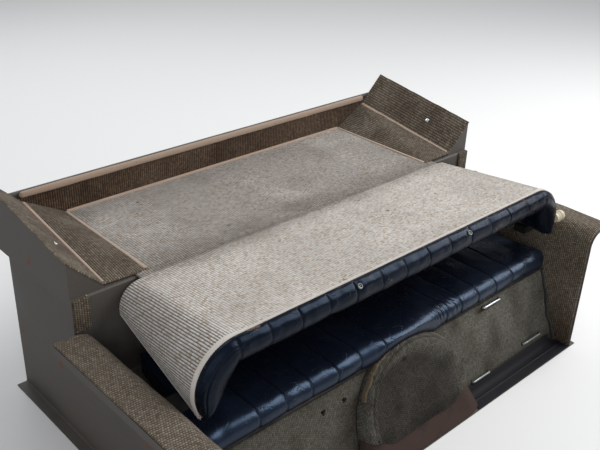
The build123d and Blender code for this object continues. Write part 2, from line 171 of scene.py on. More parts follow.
def sheet_loops(face: Array, normal: Array, thickness: float) -> Array:
    """Closed rings round a sheet, one ring for each station of its outer face.

    Formula: out along the face, over the rim at half the thickness, and back along
    face - thickness * normal. One more, thinner ring stands before the first and after the last.

    Args:
        face: grid of points, stations by rows.
        normal: outward normal at each point.
        thickness: thickness of the sheet.

    Returns:
        Rings of points, (stations + 2) by (2 * rows + 2).
    """
    def ring(top: Array, facing: Array, share: float, push: Array) -> Array:
        """Rings round some stations, at a share of the thickness and pushed along the sheet."""
        middle = top - facing * thickness / 2 + push
        upper = middle + facing * thickness * share / 2
        lower = middle - facing * thickness * share / 2
        start = middle[:, :1] + unit(middle[:, :1] - middle[:, 1:2]) * thickness * 0.4
        end = middle[:, -1:] + unit(middle[:, -1:] - middle[:, -2:-1]) * thickness * 0.4
        return np.concatenate([start, upper, end, lower[:, ::-1]], axis=1)

    out = thickness * 0.35
    before = ring(face[:1], normal[:1], 0.4, unit(face[:1] - face[1:2]) * out)
    after = ring(face[-1:], normal[-1:], 0.4, unit(face[-1:] - face[-2:-1]) * out)
    return np.concatenate([before, ring(face, normal, 1.0, np.zeros(3)), after], axis=0)


def sheet_plan(plan: Array) -> Array:
    """A quantity given on a sheet's face, laid out like the rings of sheet_loops."""
    wide = np.concatenate([plan[:, :1], plan, plan[:, -1:], plan[:, ::-1]], axis=1)
    return np.concatenate([wide[:1], wide, wide[-1:]], axis=0)


def rounded(corners: Sequence[Span], radius: float, count: int) -> Array:
    """Open outline through some corners, its inner corners rounded, in even steps.

    Formula: each inner corner c gives (1-t)**2 * a + 2*t*(1-t) * c + t**2 * b, with a and b at
    the radius (or half the side, if that is shorter) from c.

    Args:
        corners: corners of the outline in order.
        radius: distance from a corner at which its curve begins.
        count: number of points wanted.

    Returns:
        count by 2 points, evenly spaced along the outline.
    """
    c = np.array(corners, float)
    t = np.linspace(0, 1, 9)[:, None]
    bends = []
    for before, corner, after in zip(c[:-2], c[1:-1], c[2:]):
        arms = [other - corner for other in (before, after)]
        lengths = [np.linalg.norm(arm) for arm in arms]
        a, b = (corner + arm / l * min(radius, l / 2) for arm, l in zip(arms, lengths))
        bends.append((1 - t) ** 2 * a + 2 * t * (1 - t) * corner + t ** 2 * b)
    line = np.concatenate([c[:1], *bends, c[-1:]])
    along = travel(line)
    even = np.linspace(0, along[-1], count)
    return np.stack([np.interp(even, along, line[:, k]) for k in (0, 1)], axis=1)


def swept_rings(path: Array, side: Array, up: Array, profile: Array) -> Array:
    """Profile carried along a path: path + a * side + b * up for each (a, b) of the profile."""
    return path[:, None] + profile[None, :, :1] * side[:, None] + profile[None, :, 1:] * up[:, None]


def oval(half_width: float, half_height: float, count: int, power: float = 1.0) -> Array:
    """Points of an oval: (w * c**power, h * s**power) with c, s the cosine and sine.

    Args:
        half_width: half the width.
        half_height: half the height.
        count: number of points.
        power: 1 for an ellipse, less for a squarer oval.

    Returns:
        count by 2 points.
    """
    angle = np.linspace(0, 2 * math.pi, count, endpoint=False)
    c, s = np.cos(angle), np.sin(angle)
    return np.stack([half_width * np.sign(c) * np.abs(c) ** power,
                     half_height * np.sign(s) * np.abs(s) ** power], axis=1)


def ring_faces(stations: int, count: int) -> list[list[int]]:
    """Four-cornered faces between neighbouring rings of count points each."""
    i, k = np.meshgrid(np.arange(stations - 1), np.arange(count), indexing="ij")
    j = (k + 1) % count
    return np.stack([i * count + k, i * count + j, (i + 1) * count + j, (i + 1) * count + k],
                    axis=-1).reshape(-1, 4).tolist()


def zipped_cap(first: int, count: int, offset: int) -> list[list[int]]:
    """Faces that close a ring by joining point k with the point opposite, count - k - offset.

    Args:
        first: index of the ring's first point.
        count: points of the ring.
        offset: 0 where point 0 lies on the fold of the ring, 1 where the ring folds before it.

    Returns:
        Faces as lists of indices.
    """
    faces = []
    for k in range((count - offset + 1) // 2):
        corners = [k, k + 1, (count - k - 1 - offset) % count, (count - k - offset) % count]
        kept = list(dict.fromkeys(corners))
        if len(kept) > 2:
            faces.append([first + c for c in kept])
    return faces


def add(name: str, data: Any) -> Piece:
    """New object that holds the data, linked to the scene."""
    made = bpy.data.objects.new(name, data)
    bpy.context.scene.collection.objects.link(made)
    return made


def piece(name: str, rings: Array, plan: Array, masks: dict[str, Array] | None = None,
          fold: int = 0, closed: bool = False) -> Piece:
    """Closed mesh of rings, with the plan as its UV map and masks as attributes.

    Args:
        name: name of the object.
        rings: stations by ring points by 3.
        plan: stations by ring points by 2, in metres on the material.
        masks: values from 0 to 1, stations by ring points.
        fold: offset for zipped_cap at both ends.
        closed: whether the last ring joins the first, with no caps.

    Returns:
        The new object, linked to the scene.
    """
    stations, count = rings.shape[:2]
    points = rings.reshape(-1, 3)
    faces = ring_faces(stations, count)
    if closed:
        last = (stations - 1) * count
        k = np.arange(count)
        j = (k + 1) % count
        faces += np.stack([last + k, last + j, j, k], axis=-1).tolist()
    else:
        faces += [face[::-1] for face in zipped_cap(0, count, fold)]
        faces += zipped_cap((stations - 1) * count, count, fold)
    triangles = np.array([[f[0], f[i], f[i + 1]] for f in faces for i in range(1, len(f) - 1)])
    a, b, c = (points[triangles[:, i]] for i in range(3))
    if (a * np.cross(b, c)).sum() < 0:
        faces = [face[::-1] for face in faces]
    mesh = bpy.data.meshes.new(name)
    mesh.from_pydata(points.tolist(), [], faces)
    corners = np.zeros(len(mesh.loops), np.int32)
    mesh.loops.foreach_get("vertex_index", corners)
    layer = mesh.uv_layers.new(name="plan")
    layer.data.foreach_set("uv", plan.reshape(-1, 2)[corners].astype(np.float32).ravel())
    for title, values in (masks or {}).items():
        attribute = mesh.attributes.new(title, "FLOAT", "POINT")
        attribute.data.foreach_set("value", values.astype(np.float32).ravel())
    mesh.shade_smooth()
    mesh.set_sharp_from_angle(angle=CRISP_ANGLE)
    return add(name, mesh)


def turned(name: str, base: Array, axis: Array, profile: Array, sides: int = 28) -> Piece:
    """Surface of revolution: base + h * axis + r * (cos a, sin a) for each (h, r) of the profile.

    Args:
        name: name of the object.
        base: a point on the axis.
        axis: direction of the axis.
        profile: rows of distance along the axis and radius, the first and last radius near zero.
        sides: number of steps round the axis.

    Returns:
        The new object.
    """
    axis = unit(np.asarray(axis, float))
    first = unit(np.cross(axis, UP if abs(axis[2]) < 0.9 else LEFT))
    second = np.cross(axis, first)
    angle = np.linspace(0, 2 * math.pi, sides, endpoint=False)
    spoke = np.cos(angle)[:, None] * first + np.sin(angle)[:, None] * second
    rings = (np.asarray(base, float) + profile[:, None, :1] * axis
             + profile[:, None, 1:] * spoke[None])
    return piece(name, rings, grid(profile[:, :1], angle[None] * 0.01))


def cloth(name: str, face: Array, normal: Array, plan: Array, masks: dict[str, Array | float],
          thickness: float = CARPET_THICKNESS) -> Piece:
    """Sheet of cloth made from its outer face.

    Args:
        name: name of the object.
        face: grid of points of the outer face.
        normal: outward normals, or one for the whole face.
        plan: places on the flat cloth, in metres.
        masks: values from 0 to 1 over the face.
        thickness: thickness of the cloth.

    Returns:
        The new object.
    """
    laid_out = {title: sheet_plan(np.broadcast_to(value, face.shape[:2])) for title, value in masks.items()}
    rings = sheet_loops(face, np.broadcast_to(normal, face.shape), thickness)
    return piece(name, rings, sheet_plan(plan), laid_out)


# Shader helpers


class Tree:
    """Adds and links the nodes of one material or node group."""

    def __init__(self, tree: bpy.types.NodeTree) -> None:
        """Takes the tree to work in."""
        self.tree = tree

    def node(self, kind: str, inputs: dict[Any, Any] | None = None, **settings: Any) -> bpy.types.Node:
        """Adds a node.

        Args:
            kind: Blender's class of the node.
            inputs: values or sockets for its inputs, by name or number.
            settings: properties of the node.

        Returns:
            The node.
        """
        made = self.tree.nodes.new(kind)
        for key, value in settings.items():
            setattr(made, key, value)
        for key, value in (inputs or {}).items():
            self.feed(made.inputs[key], value)
        return made

    def feed(self, socket: Socket, value: Any) -> None:
        """Links a socket to an input, or sets a plain value on it."""
        if isinstance(value, Socket):
            self.tree.links.new(value, socket)
        elif isinstance(value, tuple) and len(value) == 3 and socket.type == "RGBA":
            socket.default_value = (*value, 1.0)
        else:
            socket.default_value = value

    def math(self, operation: str, a: Any, b: Any = 0.0, c: Any = 0.0) -> Socket:
        """Result of one arithmetic step on numbers."""
        return self.node("ShaderNodeMath", {0: a, 1: b, 2: c}, operation=operation).outputs[0]

    def times(self, a: Any, b: Any) -> Socket:
        """a * b."""
        return self.math("MULTIPLY", a, b)

    def plus(self, a: Any, b: Any) -> Socket:
        """a + b."""
        return self.math("ADD", a, b)

    def minus(self, a: Any, b: Any) -> Socket:
        """a - b."""
        return self.math("SUBTRACT", a, b)

    def fit(self, a: Any, b: Any, c: Any) -> Socket:
        """a * b + c."""
        return self.math("MULTIPLY_ADD", a, b, c)

    def swing(self, value: Any) -> Socket:
        """Wave from 0 at whole numbers to 1 between them: 0.5 + 0.5 * cos(2 pi (fract - 0.5))."""
        middle = self.minus(self.math("FRACT", value), 0.5)
        return self.fit(self.math("COSINE", self.times(middle, 2 * math.pi)), 0.5, 0.5)

    def vector(self, operation: str, a: Any, inputs: dict[int, Any]) -> Socket:
        """Result of one step on vectors."""
        return self.node("ShaderNodeVectorMath", {0: a, **inputs}, operation=operation).outputs[0]

    def spread(self, value: Any, low: Any, high: Any, to_low: float = 0.0, to_high: float = 1.0) -> Socket:
        """Value moved smoothly from the range low..high to to_low..to_high."""
        return self.node("ShaderNodeMapRange", {0: value, 1: low, 2: high, 3: to_low, 4: to_high},
                         interpolation_type="SMOOTHSTEP").outputs[0]

    def mix(self, factor: Any, a: Any, b: Any, blend: str = "MIX") -> Socket:
        """Colour between a and b."""
        made = self.node("ShaderNodeMix", data_type="RGBA", blend_type=blend)
        for socket, value in zip((made.inputs[0], made.inputs[6], made.inputs[7]), (factor, a, b)):
            self.feed(socket, value)
        return made.outputs[2]

    def ramp(self, value: Any, stops: Sequence[tuple[float, Colour]]) -> Socket:
        """Colour looked up along a ramp of (place, colour) stops."""
        made = self.node("ShaderNodeValToRGB", {0: value})
        band = made.color_ramp.elements
        while len(band) < len(stops):
            band.new(0.5)
        for element, (place, colour) in zip(band, stops):
            element.position = place
            element.color = (*colour, 1.0)
        return made.outputs[0]

    def noise(self, vector: Any, scale: float, detail: float = 3.0, rough: float = 0.55) -> Socket:
        """Cloudy value about 0.5."""
        return self.node("ShaderNodeTexNoise", {"Vector": vector, "Scale": scale, "Detail": detail,
                                                "Roughness": rough}).outputs[0]


def new_group(name: str, inputs: dict[str, float], outputs: Sequence[str]) -> tuple[Tree, Any, Any]:
    """Empty node group with named sockets, the first of them a Vector.

    Args:
        name: name of the group.
        inputs: names and default values of the numbers that it takes.
        outputs: names of the values it puts out.

    Returns:
        Its Tree, the sockets it is given, and the sockets of its end.
    """
    group = bpy.data.node_groups.new(name, "ShaderNodeTree")
    group.interface.new_socket(name="Vector", in_out="INPUT", socket_type="NodeSocketVector")
    for title, value in inputs.items():
        socket = group.interface.new_socket(name=title, in_out="INPUT", socket_type="NodeSocketFloat")
        socket.default_value = value
    for title in outputs:
        group.interface.new_socket(name=title, in_out="OUTPUT", socket_type="NodeSocketFloat")
    tree = Tree(group)
    return tree, tree.node("NodeGroupInput").outputs, tree.node("NodeGroupOutput").inputs


class Effects:
    """Node groups that several finishes share."""

    def __init__(self) -> None:
        """Builds each group once."""
        self.pile = self.build_pile()
        self.soil = self.build_soil()
        self.grain = self.build_grain()
        self.wear = self.build_wear()

    def build_pile(self) -> bpy.types.NodeTree:
        """Loops of a carpet: ribs 0.5 + 0.5 * cos(2 pi u / pitch), cut across into loops."""
        tree, given, out = new_group(
            "carpet_pile", {"Rib Pitch": 0.006, "Loop Pitch": 0.004, "Square": 0.0, "Wander": 0.002},
            ["Height", "Groove", "Tint"])
        cloud = tree.node("ShaderNodeTexNoise", {"Vector": given["Vector"], "Scale": 22.0, "Detail": 2.0})
        shift = tree.vector("SUBTRACT", cloud.outputs[1], {1: (0.5, 0.5, 0.5)})
        moved = tree.vector("ADD", given["Vector"], {1: tree.vector("SCALE", shift, {3: given["Wander"]})})
        parts = tree.node("ShaderNodeSeparateXYZ", {0: moved})
        across = tree.math("DIVIDE", parts.outputs[0], given["Rib Pitch"])
        lane = tree.math("FLOOR", across)
        along = tree.plus(tree.math("DIVIDE", parts.outputs[1], given["Loop Pitch"]), tree.times(lane, 0.5))
        cell = tree.math("FLOOR", along)
        rib, loop = tree.swing(across), tree.swing(along)
        depth = tree.fit(given["Square"], 0.5, 0.3)
        cut = tree.minus(1.0, tree.times(depth, tree.minus(1.0, loop)))
        height = tree.times(tree.math("POWER", rib, 0.7), cut)
        cells = tree.node("ShaderNodeCombineXYZ", {0: lane, 1: cell})
        tint = tree.node("ShaderNodeTexWhiteNoise", {0: cells.outputs[0]}, noise_dimensions="3D")
        tree.feed(out["Height"], height)
        tree.feed(out["Groove"], tree.math("POWER", tree.minus(1.0, height), 1.6))
        tree.feed(out["Tint"], tint.outputs[0])
        return tree.tree

    def build_soil(self) -> bpy.types.NodeTree:
        """Soiling: broad cloudy patches, and a few small dark specks."""
        tree, given, out = new_group(
            "soiling", {"Scale": 5.0, "Cover": 0.5, "Speck Scale": 60.0, "Speck Share": 0.1},
            ["Soil", "Specks"])
        cloud = tree.noise(given["Vector"], given["Scale"], 6.0, 0.62)
        patch = tree.spread(cloud, tree.minus(0.72, given["Cover"]), tree.minus(1.02, given["Cover"]))
        spots = tree.node("ShaderNodeTexVoronoi", {"Vector": given["Vector"], "Scale": given["Speck Scale"]})
        pick = tree.node("ShaderNodeSeparateColor", {0: spots.outputs[1]})
        chosen = tree.math("LESS_THAN", pick.outputs[0], given["Speck Share"])
        reach = tree.fit(pick.outputs[1], 0.16, 0.05)
        near = tree.spread(spots.outputs[0], reach, tree.times(reach, 0.4))
        tree.feed(out["Soil"], patch)
        tree.feed(out["Specks"], tree.times(near, chosen))
        return tree.tree

    def build_grain(self) -> bpy.types.NodeTree:
        """Leather: pebbled grain, fine creases between cells, and broad mottling."""
        tree, given, out = new_group(
            "leather_grain", {"Grain Scale": 700.0, "Crease Scale": 38.0}, ["Height", "Creases", "Mottle"])
        pebbles = tree.node("ShaderNodeTexVoronoi", {"Vector": given["Vector"],
                                                     "Scale": given["Grain Scale"]}, feature="SMOOTH_F1")
        bent = tree.node("ShaderNodeTexNoise", {"Vector": given["Vector"], "Scale": 60.0, "Detail": 3.0})
        moved = tree.vector("ADD", given["Vector"], {1: tree.vector("SCALE", bent.outputs[1], {3: 0.012})})
        lines = tree.node("ShaderNodeTexVoronoi", {"Vector": moved, "Scale": given["Crease Scale"]},
                          feature="DISTANCE_TO_EDGE")
        crease = tree.spread(lines.outputs[0], 0.0, 0.045, 1.0, 0.0)
        crease = tree.times(crease, tree.spread(tree.noise(given["Vector"], 45.0, 4.0), 0.45, 0.62))
        pebble = tree.times(pebbles.outputs[0], 0.25)
        tree.feed(out["Height"], tree.minus(pebble, tree.times(crease, 0.6)))
        tree.feed(out["Creases"], crease)
        tree.feed(out["Mottle"], tree.noise(given["Vector"], 9.0, 5.0, 0.6))
        return tree.tree

    def build_wear(self) -> bpy.types.NodeTree:
        """Wear: a mask that spreads from an edge value in ragged patches."""
        tree, given, out = new_group("edge_wear", {"Edge": 0.0, "Scale": 80.0, "Amount": 0.5}, ["Wear"])
        cloud = tree.noise(given["Vector"], given["Scale"], 6.0, 0.7)
        level = tree.times(given["Edge"], given["Amount"])
        tree.feed(out["Wear"], tree.spread(tree.plus(tree.minus(cloud, 1.0), level), -0.32, -0.2))
        return tree.tree


class Surface:
    """A material under construction: its tree, its shader and the places it reads."""

    def __init__(self, name: str, effects: Effects) -> None:
        """Starts an empty material with one Principled BSDF."""
        self.material = bpy.data.materials.new(name)
        self.material.use_nodes = True
        self.material.node_tree.nodes.clear()
        self.effects = effects
        self.tree = Tree(self.material.node_tree)
        self.shader = self.tree.node("ShaderNodeBsdfPrincipled")
        end = self.tree.node("ShaderNodeOutputMaterial")
        self.tree.feed(end.inputs[0], self.shader.outputs[0])
        place = self.tree.node("ShaderNodeTexCoord")
        self.object_place = place.outputs["Object"]

    def plan(self) -> Socket:
        """The piece's own plan in metres."""
        return self.tree.node("ShaderNodeUVMap", uv_map="plan").outputs[0]

    def mask(self, name: str) -> Socket:
        """A value from 0 to 1 stored on the piece's points."""
        return self.tree.node("ShaderNodeAttribute", attribute_name=name).outputs["Fac"]

    def group(self, tree: bpy.types.NodeTree, **inputs: Any) -> bpy.types.Node:
        """Places a shared group; an input's name is given with _ for a space."""
        made = self.tree.node("ShaderNodeGroup")
        made.node_tree = tree
        for key, value in inputs.items():
            self.tree.feed(made.inputs[key.replace("_", " ")], value)
        return made

    def soil(self, scale: float, cover: float, speck_scale: float,
             speck_share: float) -> tuple[Socket, Socket]:
        """Patches and specks of the shared soiling."""
        made = self.group(self.effects.soil, Vector=self.object_place, Scale=scale, Cover=cover,
                          Speck_Scale=speck_scale, Speck_Share=speck_share)
        return made.outputs["Soil"], made.outputs["Specks"]

    def wear(self, edge: Any, scale: float, amount: float) -> Socket:
        """Ragged wear that starts from an edge value."""
        made = self.group(self.effects.wear, Vector=self.object_place, Edge=edge, Scale=scale, Amount=amount)
        return made.outputs["Wear"]

    def dress(self, **values: Any) -> None:
        """Sets or links inputs of the shader; an input's name is given with _ for a space."""
        for key, value in values.items():
            self.tree.feed(self.shader.inputs[key.replace("_", " ")], value)

    def bump(self, height: Any, distance: float, strength: float = 1.0) -> Socket:
        """Normal from a height."""
        return self.tree.node("ShaderNodeBump", {"Height": height, "Distance": distance,
                                                 "Strength": strength}).outputs[0]


# Finishes


@dataclass(frozen=True)
class Finish:
    """A named look; each kind paints its own material."""

    name: str

    def material(self, effects: Effects) -> bpy.types.Material:
        """The finish as a new material."""
        s = Surface(self.name, effects)
        self.paint(s, s.tree)
        return s.material

    def paint(self, s: Surface, t: Tree) -> None:
        """Adds the nodes of the finish to the material."""
        raise NotImplementedError


@dataclass(frozen=True)
class CarpetFinish(Finish):
    """Loop carpet: colours of its yarns, its weave and how soiled it is."""

    yarns: tuple[Colour, ...]
    groove: Colour
    dirt_and_shade: Colour
    weave: Weave = Weave.RIBBED
    rib_pitch: float = 0.006
    loop_pitch: float = 0.0045
    dirt_share: float = 0.35
    cover: float = 0.5
    groove_share: float = 0.6
    relief: float = 0.0016
    sheen: float = 0.2

    def paint(self, s: Surface, t: Tree) -> None:
        """Material that follows the plan of a carpet.

        The mask "dirt" adds soiling and painted shade in creases, at wall feet and in a torn slot,
        "open" parts its ribs where it bends, and "bare" darkens the nose's face: its own tone and painted
        shade.
        """
        plan = s.plan()
        pile = s.group(s.effects.pile, Vector=plan, Rib_Pitch=self.rib_pitch, Loop_Pitch=self.loop_pitch,
                       Square=self.weave.value, Wander=0.0016)
        stops = [(i / (len(self.yarns) - 1), colour) for i, colour in enumerate(self.yarns)]
        colour = t.ramp(pile.outputs["Tint"], stops)
        fleck = t.noise(plan, 430.0, 3.0, 0.7)
        colour = t.mix(t.spread(fleck, 0.53, 0.68, 0.0, 0.55), colour, self.yarns[-1])
        colour = t.mix(t.spread(fleck, 0.47, 0.34, 0.0, 0.35), colour, self.yarns[0])
        # The groove colour is painted shade down between ribs and loops, more of it where the ribs part at a
        # bend.
        parted = t.fit(s.mask("open"), 0.98 - self.groove_share, self.groove_share)
        colour = t.mix(t.times(pile.outputs["Groove"], parted), colour, self.groove)
        soil, specks = s.soil(4.2, self.cover, 30.0, 0.07)
        patch = t.times(soil, self.dirt_share)
        patch = t.math("MINIMUM", t.plus(patch, s.mask("dirt_and_shade")), 0.95)
        # The dirt colour darkens for soiling and for painted shade alike.
        colour = t.mix(patch, colour, self.dirt_and_shade, "MULTIPLY")
        # Darker face of the tunnel's nose: the panel's own tone and painted shade, its lit rim left lighter.
        colour = t.mix(s.mask("bare"), colour, rgb(166, 160, 158), "MULTIPLY")
        colour = t.mix(t.times(specks, 0.8), colour, rgb(58, 48, 40))
        s.dress(Base_Color=colour, Roughness=0.94, Sheen_Weight=self.sheen, Sheen_Roughness=0.6,
                Specular_IOR_Level=0.1, Normal=s.bump(pile.outputs["Height"], self.relief))


@dataclass(frozen=True)
class LeatherFinish(Finish):
    """Black leather with a faint blue cast, its reflections tinted blue as a painted sky reflection; worn
    brown at seams and edges.
    """

    name: str = "black_leather"
    gloss: float = 0.15
    colour: Colour = rgb(9, 12, 20)
    dull: Colour = rgb(18, 21, 31)
    seam_shade: Colour = rgb(4, 5, 7)
    worn: Colour = rgb(118, 98, 82)
    scuffed: Colour = rgb(52, 47, 48)

    def paint(self, s: Surface, t: Tree) -> None:
        """Material that reads the masks "seam", "worn" and "dull"; "dull" is painted shade that takes the
        gloss off where the pale floor would be reflected.
        """
        grain = s.group(s.effects.grain, Vector=s.object_place, Grain_Scale=620.0, Crease_Scale=34.0)
        seam = s.mask("seam")
        worn = s.mask("worn")
        wear = s.wear(worn, 210.0, 0.3)
        scuff = s.wear(worn, 26.0, 0.3)
        colour = t.mix(t.spread(grain.outputs["Mottle"], 0.4, 0.75, 0.0, 0.6), self.colour, self.dull)
        colour = t.mix(t.times(scuff, 0.6), colour, self.scuffed)
        colour = t.mix(t.times(wear, 0.7), colour, self.worn)
        colour = t.mix(t.times(grain.outputs["Creases"], 0.2), colour, rgb(60, 54, 52))
        # Painted shade down in the pinched seams.
        colour = t.mix(t.times(seam, 0.8), colour, self.seam_shade)
        rough = t.plus(t.spread(grain.outputs["Mottle"], 0.35, 0.7, 0.24, 0.36),
                       t.times(t.plus(wear, seam), 0.22))
        # Painted shade: the mask "dull" lowers the gloss so that undersides stay dark.
        gloss = t.times(t.minus(1.0, s.mask("dull")), self.gloss)
        # The blue Specular Tint is a painted reflection of a blue sky.
        s.dress(Base_Color=colour, Roughness=rough, Specular_IOR_Level=gloss,
                Specular_Tint=(0.42, 0.64, 1.0), Normal=s.bump(grain.outputs["Height"], 0.0005))


@dataclass(frozen=True)
class ClothFinish(Finish):
    """Plain woven cloth of a binding or a padded band."""

    colour: Colour
    shade: Colour
    pitch: float = 0.0012

    def paint(self, s: Surface, t: Tree) -> None:
        """Fine square weave with cloudy fading and painted shade in the weave's grooves."""
        pile = s.group(s.effects.pile, Vector=s.plan(), Rib_Pitch=self.pitch, Loop_Pitch=self.pitch,
                       Square=Weave.SQUARE.value, Wander=0.0004)
        soil, specks = s.soil(11.0, 0.55, 70.0, 0.06)
        # The shade colour stands for fading and for painted shade in the grooves of the weave.
        fade = t.fit(soil, 0.5, t.times(pile.outputs["Groove"], 0.35))
        colour = t.mix(t.math("MINIMUM", fade, 1.0), self.colour, self.shade)
        colour = t.mix(t.times(specks, 0.6), colour, rgb(70, 58, 50))
        s.dress(Base_Color=colour, Roughness=0.88, Sheen_Weight=0.2, Specular_IOR_Level=0.25,
                Normal=s.bump(pile.outputs["Height"], 0.0004))


@dataclass(frozen=True)
class PaintFinish(Finish):
    """Paint on pressed steel or board, dusty, with rust where it has chipped."""

    colour: Colour
    rust_share: float = 0.3

    def paint(self, s: Surface, t: Tree) -> None:
        """Semi-gloss paint on Object places."""
        soil = s.soil(6.0, 0.5, 45.0, 0.12)[0]
        rust = s.wear(0.62, 16.0, self.rust_share)
        colour = t.mix(t.times(soil, 0.5), self.colour, rgb(92, 84, 74))
        rusty = t.mix(t.noise(s.object_place, 90.0, 4.0), rgb(86, 48, 28), rgb(128, 78, 44))
        colour = t.mix(rust, colour, rusty)
        rough = t.fit(soil, 0.25, 0.42)
        peel = t.plus(t.noise(s.object_place, 260.0, 2.0), t.times(rust, -0.8))
        s.dress(Base_Color=colour, Roughness=t.fit(rust, 0.35, rough),
                Normal=s.bump(peel, 0.0006))


@dataclass(frozen=True)
class MetalFinish(Finish):
    """Bare or plated metal with fine scratches and tarnish."""

    colour: Colour
    tarnish: Colour
    roughness: float
    tarnish_share: float

    def paint(self, s: Surface, t: Tree) -> None:
        """Metal on Object places."""
        soil, specks = s.soil(60.0, 0.5, 420.0, 0.25)
        dull = t.times(t.math("MAXIMUM", soil, specks), self.tarnish_share)
        colour = t.mix(dull, self.colour, self.tarnish)
        stretched = t.node("ShaderNodeMapping", {0: s.object_place, 3: (40.0, 900.0, 900.0)})
        scratches = t.noise(stretched.outputs[0], 1.0, 3.0)
        s.dress(Base_Color=colour, Metallic=t.fit(dull, -0.6, 1.0),
                Roughness=t.fit(dull, 0.35, self.roughness),
                Normal=s.bump(scratches, 0.00012))


@dataclass(frozen=True)
class MouldedFinish(Finish):
    """Moulded plastic or rubber, with a fine skin and grime."""

    colour: Colour
    grime: Colour
    roughness: float
    grime_share: float
    gloss: float = 0.4
    patch_scale: float = 70.0

    def paint(self, s: Surface, t: Tree) -> None:
        """Material on Object places."""
        soil, specks = s.soil(self.patch_scale, 0.52, 260.0, 0.2)
        dull = t.times(t.math("MAXIMUM", soil, specks), self.grime_share)
        s.dress(Base_Color=t.mix(dull, self.colour, self.grime),
                Roughness=t.fit(dull, 0.3, self.roughness), Specular_IOR_Level=self.gloss,
                Normal=s.bump(t.noise(s.object_place, 900.0, 2.0), 0.0002))


@dataclass(frozen=True)
class WoodFinish(Finish):
    """Plywood with its grain along X."""

    name: str = "seat_board"

    def paint(self, s: Surface, t: Tree) -> None:
        """Stretched noise as growth lines."""
        stretched = t.node("ShaderNodeMapping", {0: s.object_place, 3: (3.0, 60.0, 60.0)})
        lines = t.noise(stretched.outputs[0], 3.0, 5.0, 0.6)
        colour = t.ramp(lines, [(0.3, rgb(150, 116, 78)), (0.55, rgb(178, 142, 100)),
                                (0.75, rgb(196, 164, 122))])
        soil = s.soil(9.0, 0.5, 80.0, 0.1)[0]
        colour = t.mix(t.times(soil, 0.5), colour, rgb(96, 74, 54))
        s.dress(Base_Color=colour, Roughness=0.7, Normal=s.bump(lines, 0.0005))


DECK_CARPET = CarpetFinish(
    "ribbed_carpet", (rgb(214, 210, 204), rgb(198, 192, 185), rgb(180, 171, 160), rgb(207, 202, 195),
                      rgb(162, 142, 118)), rgb(46, 44, 42), rgb(172, 168, 162), cover=0.42,
    groove_share=0.22)
# Painted shade: a darker, browner copy of the deck's carpet, which runs on over the crease onto the shelf.
SHADED_SHELF_CARPET = CarpetFinish(
    "shelf_carpet_shaded_copy", (rgb(196, 192, 186), rgb(177, 171, 164), rgb(156, 148, 139), rgb(188, 183, 176),
                          rgb(138, 118, 96)), rgb(64, 58, 52), rgb(146, 138, 130), cover=0.5, dirt_share=0.5,
    groove_share=0.4)
# Its dark brown is partly the carpet's own tone and partly painted shade on the bulkhead behind the shelf.
BULKHEAD_CARPET_TONE_AND_SHADE = CarpetFinish(
    "bulkhead_carpet_tone_and_shade", (rgb(124, 104, 84), rgb(104, 84, 66), rgb(86, 68, 53), rgb(114, 94, 76),
                             rgb(78, 61, 46)), rgb(36, 28, 22), rgb(120, 98, 80), loop_pitch=0.005,
    dirt_share=0.4, sheen=0.05)
SIDE_CARPET = CarpetFinish(
    "square_weave", (rgb(172, 164, 149), rgb(151, 141, 125), rgb(130, 119, 103), rgb(162, 153, 137),
                     rgb(116, 100, 82)), rgb(52, 47, 42), rgb(134, 118, 100), Weave.SQUARE, 0.0055, 0.0055,
    dirt_share=0.45, groove_share=0.8, sheen=0.05)
HEEL_CARPET = CarpetFinish(
    "heel_weave", (rgb(149, 148, 139), rgb(132, 130, 120), rgb(115, 112, 102), rgb(143, 141, 131),
                   rgb(102, 95, 82)), rgb(50, 48, 43), rgb(102, 92, 80), Weave.SQUARE, 0.0045, 0.0045,
    dirt_share=0.55, cover=0.55, groove_share=0.5, relief=0.0008, sheen=0.05)
NOSE_CARPET = CarpetFinish(
    "nose_weave", (rgb(134, 132, 123), rgb(118, 116, 107), rgb(102, 99, 90), rgb(128, 126, 117),
                   rgb(90, 81, 69)), rgb(38, 37, 34), rgb(98, 91, 81), Weave.SQUARE, 0.0045, 0.0052,
    dirt_share=0.45, cover=0.55, groove_share=0.62, relief=0.0010, sheen=0.03)
# Painted light: a lighter, glossier copy of the black leather for the cushion, which lies in the deck's
# shade.
LIT_CUSHION_LEATHER = LeatherFinish("cushion_leather_lit_copy", 0.4, rgb(15, 20, 31), rgb(25, 32, 46))
BINDING = ClothFinish("trim_band", rgb(190, 168, 150), rgb(146, 124, 106))
EDGE_BINDING = ClothFinish("edge_binding", rgb(217, 213, 207), rgb(186, 177, 167))
DARK_PIPING = ClothFinish("dark_piping", rgb(30, 27, 27), rgb(18, 17, 18), 0.002)
PAN_PAINT = PaintFinish("pan_paint", rgb(40, 41, 44), 0.12)
BOARD_PAINT = PaintFinish("board_paint", rgb(34, 34, 36), 0.0)
PLATING = MetalFinish("plated_steel", rgb(170, 168, 160), rgb(104, 92, 74), 0.36, 0.7)
CHROME = MetalFinish("chrome", rgb(222, 226, 232), rgb(120, 112, 100), 0.09, 0.25)
SATIN_CHROME = MetalFinish("satin_chrome", rgb(206, 214, 220), rgb(130, 130, 124), 0.2, 0.35)
DULL_CHROME = MetalFinish("dull_chrome", rgb(158, 166, 166), rgb(84, 86, 80), 0.24, 0.6)
RUST = MetalFinish("rusty_steel", rgb(70, 44, 32), rgb(36, 24, 18), 0.75, 0.9)
JUTE = ClothFinish("jute_padding", rgb(116, 102, 80), rgb(74, 63, 49), 0.004)
IVORY = MouldedFinish("ivory_plastic", rgb(208, 202, 182), rgb(146, 116, 80), 0.32, 0.4)
RUBBER = MouldedFinish("black_rubber", rgb(18, 18, 19), rgb(32, 30, 28), 0.6, 0.5, 0.1)
